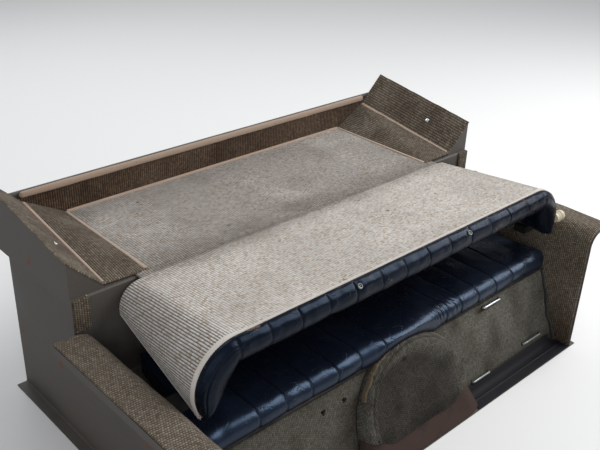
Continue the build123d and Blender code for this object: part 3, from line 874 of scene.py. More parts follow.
MAT_RUBBER = MouldedFinish("floor_mat_rubber", rgb(15, 20, 30), rgb(33, 30, 30), 0.5, 0.6, 0.15, 24.0)
APRON_RUBBER = MouldedFinish("tunnel_mat_rubber", rgb(30, 30, 35), rgb(72, 54, 43), 0.55, 0.55, 0.12, 45.0)


class Wardrobe:
    """Makes each finish's material once and hands it out."""

    def __init__(self) -> None:
        """Builds the shared effects."""
        self.effects = Effects()
        self.made: dict[str, bpy.types.Material] = {}

    def material(self, finish: Finish) -> bpy.types.Material:
        """The material of a finish."""
        if finish.name not in self.made:
            self.made[finish.name] = finish.material(self.effects)
        return self.made[finish.name]

    def dress(self, obj: Piece, finish: Finish) -> None:
        """Gives every slot of an object the finish."""
        obj.data.materials.clear()
        obj.data.materials.append(self.material(finish))


class Workshop:
    """Puts finished pieces into the scene: material, body and the CAD nodes they stand for."""

    def __init__(self, wardrobe: Wardrobe) -> None:
        """Takes the wardrobe for its materials."""
        self.wardrobe = wardrobe

    def place(self, obj: Piece, finish: Finish, slot: str, body: Body = Body.PAN,
              stands_for: Sequence[str] = ()) -> Piece:
        """Dresses a piece and lets it ride on its body.

        Args:
            obj: the new piece.
            finish: its finish.
            slot: the record's material slot; not used.
            body: the body that carries it.
            stands_for: CAD nodes that it replaces.

        Returns:
            The same piece.
        """
        self.wardrobe.dress(obj, finish)
        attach(obj, body.value)
        if stands_for:
            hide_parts(*stands_for)
        log.info("%s: %d faces on %s", obj.name, len(obj.data.polygons), body.value)
        return obj


# Backrest


@dataclass(frozen=True)
class DeckForm:
    """Outer face of the folded backrest: flat across the middle, its ends turned down."""

    half: float = 0.490
    front_y: float = -0.290
    rear_y: float = 0.025
    front_top: float = 0.4695
    rear_top: float = 0.4397
    front_round: float = 0.097
    rear_round: float = 0.054
    turn: float = math.radians(105)
    front_tip: float = 0.318
    rear_tip: float = 0.370
    front_tip_x: float = 0.545
    rear_tip_x: float = 0.508

    def between(self, y: Array, front: float, rear: float) -> Array:
        """Value at station y on the straight line from front to rear."""
        return front + (np.asarray(y, float) - self.front_y) / (self.rear_y - self.front_y) * (rear - front)

    def within(self, y: Array) -> Array:
        """Stations kept between the front edge and the rear edge."""
        return np.clip(y, self.front_y, self.rear_y)

    def length(self, y: Array) -> Array:
        """Distance along the face from the middle to the tip: half + radius * turn + straight leg."""
        radius = self.between(y, self.front_round, self.rear_round)
        top = self.between(y, self.front_top, self.rear_top)
        arc_end = top - radius + radius * math.cos(self.turn)
        leg = (arc_end - self.between(y, self.front_tip, self.rear_tip)) / math.sin(self.turn)
        return self.half + radius * self.turn + np.maximum(leg, 0.0005)

    def run(self, p: Array, y: Array) -> Array:
        """Distance s along the face for p from -2 to 2: the middle up to 1, the turned ends up to 2."""
        a = np.abs(p)
        outer = self.half + (a - 1) * (self.length(y) - self.half)
        return np.sign(p) * np.where(a <= 1, a * self.half, outer)

    def place(self, s: Array, y: Array, depth: Array | float) -> tuple[Array, Array]:
        """Point and normal at distance s and station y, some depth under the face.

        Formula: straight to half, then an arc of the station's radius through the turn, then straight;
        the depth is taken off along the normal (sin angle, 0, cos angle).
        """
        s, y, depth = np.broadcast_arrays(s, y, depth)
        radius = self.between(y, self.front_round, self.rear_round)
        top = self.between(y, self.front_top, self.rear_top)
        past = np.maximum(np.abs(s) - self.half, 0)
        angle = np.minimum(past / radius, self.turn)
        leg = np.maximum(past - radius * self.turn, 0)
        x = np.minimum(np.abs(s), self.half) + (radius - depth) * np.sin(angle) + leg * math.cos(self.turn)
        z = top - radius + (radius - depth) * np.cos(angle) - leg * math.sin(self.turn)
        side = np.sign(s)
        return (np.stack([side * x, y, z], axis=-1),
                np.stack([side * np.sin(angle), np.zeros_like(x), np.cos(angle)], axis=-1))


def deck_columns(middle: int, ends: int) -> Array:
    """Values of p for DeckForm.run: -2 to -1, -1 to 1 and 1 to 2, without doubles."""
    return np.concatenate([np.linspace(-2, -1, ends, endpoint=False),
                           np.linspace(-1, 1, middle, endpoint=False), np.linspace(1, 2, ends + 1)])


def pleats(x: Array, seams: Array) -> tuple[Array, Array]:
    """Fullness and closeness of seams across a row of sewn channels.

    Formula: fullness = sin(pi * share of the way between two seams) ** 0.3.

    Args:
        x: places across the seams.
        seams: rising places of the seams.

    Returns:
        Fullness from 0 at a seam to 1, and the distance to the nearest seam.
    """
    k = np.clip(np.searchsorted(seams, x) - 1, 0, len(seams) - 2)
    low, high = seams[k], seams[k + 1]
    share = np.clip((x - low) / (high - low), 0, 1)
    distance = np.minimum(np.abs(x - low), np.abs(x - high))
    return np.sin(math.pi * share) ** 0.3, distance


@dataclass
class Backrest:
    """Carpet, binding and pleated leather pad of the backrest."""

    shop: Workshop
    deck: DeckForm = DeckForm()
    pad_outer: float = 0.0093
    pad_inner: float = 0.0553
    pad_rear_inner: float = 0.0453
    pad_rear_y: float = 0.008
    roll_reach: float = 0.026
    roll_top: float = 0.002
    roll_bottom: float = 0.0568
    tip_round: float = 0.027
    top_edge_at: int = 36
    side_starts_at: int = 44
    stud_at: int = 46
    side_seam_at: int = 52
    side_ends_at: int = 60
    pleat_pitch: float = 0.0765
    last_seam: float = 0.497

    def build(self) -> None:
        """Makes every piece of the backrest."""
        self.make_carpet()
        self.make_binding()
        self.make_pad()

    def swell(self, s: Array, y: Array) -> Array:
        """How far the carpet stands off its board: soft waves of under a millimetre."""
        return 0.0006 * drift(s, y, 0.085, 3) + 0.0003 * drift(s, y, 0.03, 4)

    def make_carpet(self) -> None:
        """Carpet over the top and the turned-down ends."""
        p = deck_columns(150, 44)[:, None]
        y = np.linspace(self.deck.front_y, self.deck.rear_y, 70)[None]
        s = self.deck.run(p, y)
        face, normal = self.deck.place(s, y, -self.swell(s, y))
        flat = 1 - ease(np.abs(s), self.deck.half - 0.01, self.deck.half + 0.03)
        # Painted shade: the carpet darkens towards its rear edge, into the crease by the shelf; the drift
        # adds soiling.
        dirt_and_shade = flat * (0.55 * ease(y, -0.03, 0.03) + 0.10 * np.clip(drift(s, y, 0.07, 8), 0, 1))
        made = cloth("back_carpet_cloth", face, normal, grid(s, y), {"dirt_and_shade": dirt_and_shade, "open": 1 - flat})
        self.shop.place(made, DECK_CARPET, "ribbed_carpet", Body.BACKREST, ["back_carpet"])
        flat_size = (float(self.deck.length(-0.13)) * 2, self.deck.rear_y - self.deck.front_y)

    def make_binding(self) -> None:
        """Cloth tape over the front edge, round both corners and along the ends' lower edges."""
        front, rear = self.deck.front_y, self.deck.rear_y
        corner = 0.006
        across = np.linspace(-1, 1, 420)
        end_y = np.linspace(rear, front, 60)[:-1]
        end_s = -self.deck.length(end_y)
        front_s = across * float(self.deck.length(front))
        s = np.concatenate([end_s, front_s, -end_s[::-1]])
        y = np.concatenate([end_y, np.full(across.size, front), end_y[::-1]])
        near = np.minimum(np.abs(np.abs(s) - float(self.deck.length(front))), 0.03)
        y = y + corner * 0.5 * bell(near, corner) * (y <= front + 1e-6)
        path, up = self.deck.place(s, y, CARPET_THICKNESS / 2)
        ahead = unit(np.gradient(path, axis=0))
        side = unit(np.cross(ahead, up))
        if side[s.size // 2][1] > 0:
            side = -side
        width, half = 0.003, CARPET_THICKNESS / 2 + 0.0005
        broad = 1 + 2.0 * ease(np.abs(s), self.deck.half - 0.03, self.deck.half + 0.03)
        profile = np.array([(-width, half), (-width * 0.5, half + 0.0002), (0.0, half), (0.001, half * 0.7),
                            (0.0016, 0.0), (0.001, -half * 0.7), (0.0, -half), (-width * 0.5, -half),
                            (-width, -half), (-width, 0.0)])
        inward = np.where(profile[None, :, 0] < 0, profile[None, :, 0] * broad[:, None], profile[None, :, 0])
        rings = path[:, None] + inward[..., None] * side[:, None] + profile[None, :, 1:] * up[:, None]
        plan = grid(travel(path)[:, None], travel(profile)[None])
        made = piece("back_carpet_binding", rings, plan, fold=1)
        self.shop.place(made, EDGE_BINDING, "trim_band", Body.BACKREST)

    def pad_section(self) -> tuple[Array, Array, Array, Array, Array]:
        """Section of the pad: points (y, depth), normals, fullness weight, distance round, and a roll mask.

        Formula: under the board to the front, a rounded outline with a flat strip on top, a slanting
        face and a blunt front as the roll, and back underneath.
        """
        start = self.deck.front_y - 0.0004
        top, low, reach = self.roll_top, self.roll_bottom, self.roll_reach
        straight, bent = 34, 60
        roll = rounded([(start, top), (start - 0.37 * reach, top + 0.0008),
                        (start - 0.84 * reach, top + 0.0115), (start - reach, top + 0.028),
                        (start - 0.86 * reach, low - 0.009), (start - 0.30 * reach, low),
                        (start + 0.003, low)], 0.006, bent)
        upper_y = np.linspace(self.pad_rear_y, start + 0.0005, straight)
        upper = np.stack([upper_y, np.full(straight, self.pad_outer)], axis=1)
        lower_y = np.linspace(start + 0.004, self.pad_rear_y, straight)
        lower_d = self.deck.between(lower_y, self.pad_inner, self.pad_rear_inner)
        section = np.concatenate([upper, roll, np.stack([lower_y, lower_d], axis=1)])
        normal = outline_normals(section, (-0.14, 0.03))
        weight = np.concatenate([np.zeros(straight), ease(np.arange(bent), 0, 8), np.ones(straight)])
        weight *= 1 - 0.9 * ease(section[:, 0], -0.02, self.pad_rear_y)
        on_roll = np.concatenate([np.zeros(straight), np.ones(bent), np.zeros(straight)])
        return section, normal, weight, travel(section), on_roll

    def ear_depth(self, s: Array, y: Array) -> Array:
        """Depth of the padding under its top: full across the middle, then up to a straight chord.

        Formula: the chord runs from under the last seam to the inner corner of the tip; the depth is
        the distance to it along the normal, blended in over 30 mm.
        """
        full = self.roll_bottom - self.roll_top
        outer, normal = self.deck.place(np.abs(s), self.deck.within(y), self.roll_top)
        top = self.deck.between(y, self.deck.front_top, self.deck.rear_top) - self.roll_bottom
        tip_x = self.deck.between(y, self.deck.front_tip_x, self.deck.rear_tip_x)
        tip_z = self.deck.between(y, self.deck.front_tip, self.deck.rear_tip)
        across_x, across_z = top - tip_z, tip_x - self.last_seam
        length = np.hypot(across_x, across_z)
        across_x, across_z = across_x / length, across_z / length
        gap = (outer[..., 0] - self.last_seam) * across_x + (outer[..., 2] - top) * across_z
        chord = gap / np.maximum(normal[..., 0] * across_x + normal[..., 2] * across_z, 0.3)
        share = ease(np.abs(s), self.last_seam - 0.005, self.last_seam + 0.025)
        return full + (np.clip(chord, 0.02, full * 1.3) - full) * share

    def seams(self) -> Array:
        """Places of the pleat seams across the backrest."""
        middle = (np.arange(-7, 7) + 0.5) * self.pleat_pitch
        inner = middle[np.abs(middle) < self.last_seam - 0.02]
        return np.concatenate([[-self.last_seam], inner, [self.last_seam]])

    def make_pad(self) -> None:
        """Pleated leather pad with its rolled edge and smooth ends."""
        section, section_normal, weight, run, on_roll = self.pad_section()
        p = deck_columns(430, 70)[:, None]
        y0, d0 = section[None, :, 0], section[None, :, 1]
        s = self.deck.run(p, self.deck.within(y0))
        x = np.clip(s, -self.last_seam - 0.03, self.last_seam + 0.03)
        full, distance = pleats(x, self.seams())
        inside = (np.abs(s) < self.last_seam).astype(float)
        tip_gap = self.deck.length(self.deck.within(y0)) - np.abs(s)
        sewn = np.where(inside > 0, 1 - full, ease(0.02 - (np.abs(s) - self.last_seam), 0, 0.02))
        groove = bell(distance, GROOVE_WIDTH)
        lumps = 0.0011 * drift(s, run[None], 0.045, 11) + 0.0007 * drift(s, run[None], 0.017, 12)
        pull = 0.0006 * np.sin(run[None] / 0.009 + 3 * drift(s, run[None], 0.05, 13))
        pull = pull * np.exp(-distance / 0.012)
        outside = 1 - inside
        height = weight[None] * (0.0008 - 0.0016 * sewn - 0.0010 * groove
                                 + (lumps + pull) * (1 - 0.75 * outside))
        side_seam = bell(run[None] - run[self.side_seam_at], 0.0018) * outside * ease(tip_gap, 0.0, 0.03)
        height = height - 0.0014 * side_seam
        radius = self.tip_round
        inset = radius - np.sqrt(np.maximum(radius ** 2 - np.maximum(radius - tip_gap, 0) ** 2, 0))
        for stud in STUD_PLACES:
            away = (s - stud) ** 2 + (run[None] - run[self.stud_at]) ** 2
            height = height - 0.0016 * np.exp(-away / 0.008 ** 2)
        taper = 0.30 * ease(np.abs(s), 0.53, 0.69) * on_roll[None]
        y = y0 + section_normal[None, :, 0] * height
        y = y + np.where(y0 < self.deck.front_y, (self.deck.front_y - y0) * taper * 0.6, 0)
        d = d0 + section_normal[None, :, 1] * height
        reach = self.ear_depth(s, y0)
        d = self.roll_top + (d - self.roll_top) * reach / (self.roll_bottom - self.roll_top)
        core = self.roll_top + 0.30 * reach
        d = core + (d - core) * (1 - inset / radius)
        y = np.clip(y, self.deck.front_y - self.roll_reach - 0.004 + inset, self.pad_rear_y - inset * 0.5)
        points = self.deck.place(s, y, d)[0]
        top_edge = bell(run[None] - run[self.top_edge_at], 0.006)
        top_edge = top_edge * (0.5 + 0.5 * drift(s, run[None], 0.02, 17))
        stitch = bell(distance, 0.004) * (0.5 + 0.5 * drift(s, run[None], 0.012, 18))
        top_side = ease(-run[None], -run[self.side_ends_at], -run[self.side_starts_at]) * on_roll[None]
        worn = np.clip(0.6 * top_edge + 0.6 * stitch * top_side
                       + 0.45 * ease(drift(s, run[None], 0.05, 19), 0.45, 0.8) * on_roll[None], 0, 1)
        seam = np.clip(bell(distance, GROOVE_WIDTH) * inside * weight[None] * 0.8 + side_seam, 0, 1)
        # Painted shade: the roll's underside, and its end on the left (+X) side that lay in shadow, lose
        # their gloss.
        under = ease(d0, 0.030, 0.048) * 0.85 + 0.35 * ease(s, 0.25, 0.5)
        dull = np.clip(under * on_roll[None], 0, 0.85)
        masks = {"seam": seam, "worn": worn, "dull": dull}
        made = piece("back_pad_leather", points, grid(s, run[None]), masks, fold=1)
        self.shop.place(made, LeatherFinish(), "black_leather", Body.BACKREST, ["back_pad"])


# Cushion


@dataclass
class Cushion:
    """Pleated leather bench, pushed up over the tunnel."""

    shop: Workshop
    front_y: float = -0.304
    rear_y: float = 0.020
    front_half: float = 0.573
    rear_half: float = 0.512
    floor: float = 0.2172
    top: float = 0.268
    corner: float = 0.024
    edge: float = 0.014
    tunnel_radius: float = 0.1845
    tunnel_centre: float = 0.060
    seam_x: tuple[float, ...] = (-0.438, -0.365, -0.294, -0.219, -0.147, -0.073, 0.147,
                                 0.206, 0.275, 0.349, 0.424)
    hump_x: float = 0.03
    crease_x: float = 0.145
    nose_reach: float = 0.034
    rear_reach: float = 0.016

    def build(self) -> None:
        """Makes the cushion."""
        columns = np.linspace(-1, 1, 560)[:, None]
        section, normal, weight, run = self.section()
        share = (section[:, 0] - self.front_y) / (self.rear_y - self.front_y)
        half = self.front_half + (self.rear_half - self.front_half) * share[None]
        x = columns * half
        gap = half - np.abs(x)
        turn = np.maximum(self.corner - gap, 0)
        inset_y = self.corner - np.sqrt(np.maximum(self.corner ** 2 - turn ** 2, 0))
        side = np.maximum(self.edge - gap, 0)
        inset_z = self.edge - np.sqrt(np.maximum(self.edge ** 2 - side ** 2, 0))
        seams = np.array([-0.62, *self.seam_x, 0.62])
        full, distance = pleats(x, seams)
        groove = bell(distance, GROOVE_WIDTH)
        lumps = 0.0016 * drift(x, run[None], 0.07, 21) + 0.0008 * drift(x, run[None], 0.025, 22)
        front = bell(section[:, 0] - self.front_y, 0.06)[None]
        hump = bell(x - self.hump_x, 0.15)
        folds = bell(x - self.crease_x, 0.05) * front
        wave = np.sin((x + 0.35 * section[None, :, 0]) * 430 + 4.5 * drift(x, run[None], 0.03, 23))
        wave = wave * np.clip(0.65 + 0.6 * drift(x, run[None], 0.024, 24), 0, 1)
        creases = folds * 0.0015 * wave
        rise = 0.006 * hump * front
        height = weight[None] * (0.0010 - 0.0024 * (1 - full) - 0.0014 * groove + lumps + creases + rise)
        y = section[None, :, 0] + normal[None, :, 0] * height
        z = section[None, :, 1] + normal[None, :, 1] * height
        y = np.clip(y, self.front_y - 0.004 + inset_y, self.rear_y - inset_y * 0.8)
        crest = self.tunnel_centre + np.sqrt(np.maximum(self.tunnel_radius ** 2 - x ** 2, 0))
        bottom = np.maximum(self.floor, crest + 0.001) + inset_z
        lift = bottom + (z - self.floor) * (self.top + 0.004 - bottom) / (self.top + 0.004 - self.floor)
        z = np.clip(lift, bottom, self.top + 0.010 - inset_z)
        seam = bell(distance, 0.0018) * weight[None]
        worn = np.clip(0.8 * folds * ease(wave, 0.2, 0.9)
                       + 0.3 * ease(drift(x, run[None], 0.05, 25), 0.5, 0.8) * front, 0, 1)
        # Painted shade: the cushion's lower front and underside lose their gloss, so they stay dark instead
        # of showing the pale floor.
        front_run = run[np.argmin(section[:, 0])]
        dull = 0.9 * ease(run, front_run + 0.002, front_run + 0.014)[None] + 0 * x
        masks = {"seam": seam, "worn": worn, "dull": dull}
        made = piece("cushion_leather", grid(x, y, z), grid(x, run[None]), masks, fold=1)
        self.shop.place(made, LIT_CUSHION_LEATHER, "black_leather", Body.PAN, ["cushion"])

    def section(self) -> tuple[Array, Array, Array, Array]:
        """Section from rear to front over the top and back underneath, with normals and weights.

        Formula: top z = top, the front half an oval as deep as nose_reach, the bottom z = floor.
        """
        reach = self.nose_reach
        angle = np.linspace(math.pi / 2, 0, 24)
        middle, half = (self.top + self.floor) / 2, (self.top - self.floor) / 2
        start = self.front_y + reach
        upper = grid(start - reach * np.cos(angle), middle + half * np.sin(angle))
        lower = grid(start - reach * np.cos(angle[::-1]) ** 0.5, middle - half * np.sin(angle[::-1]) ** 0.7)
        rear = self.rear_y - self.rear_reach
        rear_top = grid(rear + self.rear_reach * np.cos(angle), middle + half * np.sin(angle))[::-1][6:]
        top_y = np.linspace(rear, start, 44)[1:-1]
        top_line, bottom_line = grid(top_y, self.top), grid(top_y[::-1], self.floor)
        rear_low = rear_top[::-1] * np.array([1, -1]) + np.array([0, 2 * middle])
        section = np.concatenate([rear_top, top_line, upper, lower, bottom_line, rear_low])
        normal = outline_normals(section, ((self.front_y + self.rear_y) / 2, middle))
        count = rear_top.shape[0]
        weight = np.concatenate([np.linspace(0.2, 1, count), np.ones(top_y.size + 24 + 20),
                                 np.linspace(1, 0, 4), np.zeros(top_y.size + count)])
        return section, normal, weight, travel(section)


# Carpets of the pan


@dataclass(frozen=True)
class HeelPlane:
    """Leaning front face of the heel board."""

    foot_y: float = -0.356712
    lean: float = math.atan(73 / 205)

    def point(self, x: Array, h: Array, out: Array | float) -> Array:
        """Point x across, h up along the board and out from its steel."""
        x, h, out = np.broadcast_arrays(x, h, out)
        return np.stack([x, self.foot_y + h * math.sin(self.lean) - out * math.cos(self.lean),
                         h * math.cos(self.lean) + out * math.sin(self.lean)], axis=-1)

    @property
    def normal(self) -> Array:
        """Direction that the board faces."""
        return np.array([0.0, -math.cos(self.lean), math.sin(self.lean)])


@dataclass(frozen=True)
class ArchForm:
    """Carpet over the top of a wheel arch: low planes inside the fold, one steep plane outside."""

    fold_x: float = 0.560
    front_y: float = 0.048
    depth: float = 0.3487
    base_z: float = SHELF_TOP
    lift: float = 0.003
    rise: float = 0.053
    slope: float = 0.078 / 0.08
    inner_x: float = 0.458
    inner_width: float = 0.102
    inner_rise: float = 0.056
    blend: float = 0.004
    x_span: Span = (0.4585, 0.6395)
    y_span: Span = (0.0485, 0.3965)

    def fold(self, y: Array | float) -> Array | float:
        """Height of the fold over the shelf's carpet, which climbs to the rear."""
        return self.lift + self.rise * (y - self.front_y) / self.depth

    def steep(self, x: Array | float, y: Array | float) -> Array | float:
        """Height of the steep plane over the shelf's carpet."""
        return self.fold(y) + (x - self.fold_x) * self.slope

    def height(self, x: Array, y: Array) -> Array:
        """Height over the shelf's carpet: inside the fold the lower of two planes, then the steep one.

        Formula: the lower one, blended softly, is -b * log(exp(-first / b) + exp(-second / b)).
        """
        u = (x - self.inner_x) / self.inner_width
        first, second = self.inner_rise * u, self.fold(y) - self.lift * (1 - u)
        low = -self.blend * np.logaddexp(-first / self.blend, -second / self.blend) + 0.0015
        return np.where(x < self.fold_x, np.minimum(low, first + 0.001), self.steep(x, y))


@dataclass
class PanCarpets:
    """Carpets glued to the pan, with their bindings."""

    shop: Workshop
    heel: HeelPlane = HeelPlane()
    arch: ArchForm = ArchForm()
    wall_x: float = 0.597
    wall_foot: float = 0.008
    shoulder_z: float = 0.315
    shoulder_round: float = 0.043
    shoulder_x: float = 0.688
    side_span: Span = (-0.404, 0.036)
    step_span: Span = (0.6035, 0.6385)
    step_y: float = 0.0368
    mat_span: Span = (0.188, 0.5955)
    mat_welt_y: float = -0.384
    heel_span: Span = (0.0085, 0.2125)
    heel_outer: float = 0.5835
    torn_place: Span = (0.342, 0.198)
    torn_half: float = 0.044
    hole_places: tuple[float, ...] = (-0.259, -0.195)
    hole_height: float = 0.166
    nose_half: float = 0.1773
    nose_leg: float = 0.072
    nose_cut: float = 0.062
    shelf_half: float = 0.4576
    shelf_span: Span = (0.047, 0.3965)
    bulkhead_half: float = 0.601
    bulkhead_span: Span = (0.4425, 0.505)
    bulkhead_y: float = 0.397
    band_half: float = 0.566
    flap_half: float = 0.486
    flap_span: Span = (0.019, 0.053)
    crease: Span = (0.036, 0.4398)

    def build(self) -> None:
        """Makes every carpet of the pan."""
        for side in (-1, 1):
            self.make_side(side)
            self.make_arch(side)
            self.make_heel(side)
            self.make_mat(side)
            self.make_step(side)
        self.make_shelf()
        self.make_bulkhead()
        self.make_nose()
        self.make_apron()
        self.make_fringe()
        self.make_flap()

    def lay(self, name: str, face: Array, normal: Array, plan: Array, dirt_and_shade: Array | float, finish: Finish,
            slot: str, node: Sequence[str], flat: Span, on: Sequence[str],
            thickness: float = CARPET_THICKNESS, **more: Array) -> Piece:
        """Args:
            name: name of the piece.
            face: grid of points of its outer face.
            normal: outward normals, or one for the whole face.
            plan: places on the cloth in metres.
            dirt_and_shade: the mask of soiling and painted shade.
            finish: its finish.
            slot: the record's material slot.
            node: CAD nodes it stands for.
            flat: sides of the flat cloth; not used.
            on: nodes it rests on; not used.
            thickness: its thickness.
            more: further masks by name.

        Returns:
            The piece.
        """
        made = cloth(name, face, normal, plan, {"dirt_and_shade": dirt_and_shade, **more}, thickness)
        self.shop.place(made, finish, slot, Body.PAN, node)
        return made

    def tape(self, name: str, path: Array, up: Array | Place, width: float, height: float,
             finish: ClothFinish, slot: str = "trim_band") -> Piece:
        """Narrow rounded band along a path: an oval profile, flat underneath."""
        up = np.broadcast_to(up, path.shape)
        side = unit(np.cross(unit(np.gradient(path, axis=0)), up))
        profile = oval(width / 2, height, 16, 0.7)
        profile[:, 1] = np.where(profile[:, 1] < 0, profile[:, 1] * 0.3, profile[:, 1])
        plan = grid(travel(path)[:, None], np.arange(16)[None] * width / 8)
        made = piece(name, swept_rings(path, side, unit(up), profile), plan)
        return self.shop.place(made, finish, slot)

    def make_side(self, side: int) -> None:
        """Carpet up a side wall and over its shoulder: straight, a quarter circle, straight."""
        word = SIDE_NAMES[side]
        radius = self.shoulder_round
        wall = self.shoulder_z - self.wall_foot
        arc = radius * math.pi / 2
        run = np.linspace(0, wall + arc + self.shoulder_x - self.wall_x - radius, 110)[None]
        y = np.linspace(*self.side_span, 70)[:, None]
        angle = np.clip((run - wall) / radius, 0, math.pi / 2)
        flat = np.maximum(run - wall - arc, 0)
        wave = 0.0012 * drift(y, run, 0.09, 31 + side) + 0.0006 * drift(y, run, 0.03, 33)
        x = self.wall_x + radius - (radius + wave) * np.cos(angle) + flat
        z = self.wall_foot + np.minimum(run, wall) + (radius + wave) * np.sin(angle)
        normal = grid(-side * np.cos(angle), 0 * y, np.sin(angle))
        # Painted shade: the carpet darkens over the lowest 12 cm of the wall; the drift adds soiling.
        dirt_and_shade = 0.5 * np.clip(1 - run / 0.12, 0, 1) + 0.18 * (0.5 + 0.5 * drift(y, run, 0.06, 35))
        self.lay(f"side_carpet_cloth_{word}", grid(side * x, y, z), normal, grid(y, run), dirt_and_shade, SIDE_CARPET,
                 "square_weave", [f"side_carpet_{word}"], (0.44, float(run.max())), [f"side_panel_{word}"])

    def make_arch(self, side: int) -> None:
        """Carpet over a wheel arch, bound along its fold and along its foot on the shelf."""
        word = SIDE_NAMES[side]
        x = np.linspace(*self.arch.x_span, 60)[None]
        y = np.linspace(*self.arch.y_span, 70)[:, None]
        wave = 0.0014 * drift(x, y, 0.05, 41 + side) * ease(x, self.arch.inner_x, 0.49)
        z = self.arch.base_z + np.maximum(self.arch.height(x, y), 0) + np.abs(wave)
        face = grid(side * x, y, z)
        normal = grid_normals(face)
        normal *= np.sign(normal[..., 2:])
        dirt_and_shade = np.maximum(0.2 + 0.15 * drift(x, y, 0.05, 43), 0)
        self.lay(f"arch_carpet_cloth_{word}", face, normal, grid(x, y), dirt_and_shade, SIDE_CARPET, "ribbed_carpet",
                 [f"arch_carpet_{word}"], (0.23, 0.348), [f"wheel_arch_{word}"])
        line_y = np.linspace(0.053, 0.392, 80)
        fold = grid(side * self.arch.fold_x, line_y, self.arch.base_z + 0.0005 + self.arch.fold(line_y))
        self.tape(f"arch_binding_{word}", fold, (-side * 0.45, 0.0, 1.0), 0.009, 0.0028, BINDING)
        foot = grid(side * 0.4582, line_y, self.arch.base_z + 0.0002)
        self.tape(f"shelf_binding_{word}", foot, UP, 0.009, 0.0024, BINDING)

    def nose_edge(self, h: Array) -> Array:
        """Half width of the tunnel's carpet where it leaves the board, at h up the board."""
        z = h * math.cos(self.heel.lean)
        return np.sqrt(np.maximum(0.1815 ** 2 - np.maximum(z - 0.060, 0) ** 2, 0.02 ** 2))

    def make_mat(self, side: int) -> None:
        """Rubber mat on the floor flange beside the tunnel, turned up at the heel board, with a welt."""
        word = SIDE_NAMES[side]
        line = rounded([(-0.4090, 0.0045), (-0.3640, 0.0045), (-0.3553, 0.0262)], 0.012, 48)
        y, z = line.T
        inner, outer = self.mat_span
        x = inner + (outer - inner) * np.linspace(0, 1, 110)[:, None] + 0 * y[None]
        run = travel(line)[None] + 0 * x
        welt = bell(y - self.mat_welt_y, 0.0016)[None] * 0.0016
        bump = 0.0005 * np.abs(drift(x * side, run, 0.03, 56)) + welt
        face = grid(side * x, y[None], z[None] + bump)
        normal = grid_normals(face)
        normal *= np.sign(normal[..., 2:] + 1e-6)
        self.lay(f"floor_mat_{word}", face, normal, grid(x, run), 0.0, MAT_RUBBER, "black_rubber", [],
                 (0.39, 0.068), ["heel_board"], 0.0022)

    def make_step(self, side: int) -> None:
        """Small carpet on the step from the shoulder up to the wheel arch."""
        word = SIDE_NAMES[side]
        x = np.linspace(*self.step_span, 12)[:, None]
        z = np.linspace(0.3605, 0.4335, 26)[None]
        self.lay(f"step_carpet_{word}", grid(side * x, self.step_y, z), FORWARD, grid(x, z), 0.3, SIDE_CARPET,
                 "square_weave", [], (0.035, 0.073), [f"side_panel_{word}"])

    def make_heel(self, side: int) -> None:
        """Carpet of the heel board on one side of the tunnel, with a bound outer edge."""
        word = SIDE_NAMES[side]
        h = np.linspace(*self.heel_span, 110)[None]
        a = np.linspace(0, 1, 160)[:, None]
        inner, outer = self.nose_edge(h), self.heel_outer + 0.0018 * np.sin(h * 45)
        x = inner + (outer - inner) * a
        wave = 0.0010 * drift(x * side, h, 0.07, 51)
        wave = wave + 0.004 * bell(x - 0.578, 0.012) * (0.6 + 0.4 * np.sin(h * 60))
        torn_x, torn_h = self.torn_place
        beside = np.maximum(np.abs(x - torn_x) - self.torn_half, 0)
        slot = (side > 0) * np.exp(-(beside / 0.004) ** 2 - ((h - torn_h) / 0.0045) ** 2)
        wave = np.maximum(wave, -0.001) - 0.003 * slot
        face = self.heel.point(side * x, h, CARPET_THICKNESS + wave)
        foot = 0.9 * np.clip(1 - h / 0.035, 0, 1) + 0.25 * np.clip(1 - h / 0.12, 0, 1)
        patches = 0.3 * np.clip(drift(x * side, h, 0.05, 54), 0, 1)
        # Painted shade: the torn slot behind the upper bar is darkened as a recess. The foot of the board is
        # darker with dirt, and the right (-X) side's carpet is darker all over.
        dirt_and_shade = np.clip(foot + patches + 0.9 * slot + 0.16 * (side < 0), 0, 0.95)
        made = self.lay(f"heel_carpet_cloth_{word}", face, self.heel.normal, grid(side * x, h), dirt_and_shade,
                        HEEL_CARPET, "square_weave", ["heel_carpet"], (0.41, 0.204), ["heel_board"])
        if side < 0:
            self.pierce(made)
        edge_h = np.linspace(0.0045, 0.213, 90)
        edge_x = side * (0.5865 + 0.0035 * np.sin(edge_h * 45) + 0.0015 * np.sin(edge_h * 140))
        path = self.heel.point(edge_x, edge_h, CARPET_THICKNESS + 0.0025 * np.sin(edge_h * 60 + 0.6))
        self.tape(f"heel_edging_{word}", path, self.heel.normal, 0.0135, 0.0056, DARK_PIPING, "square_weave")

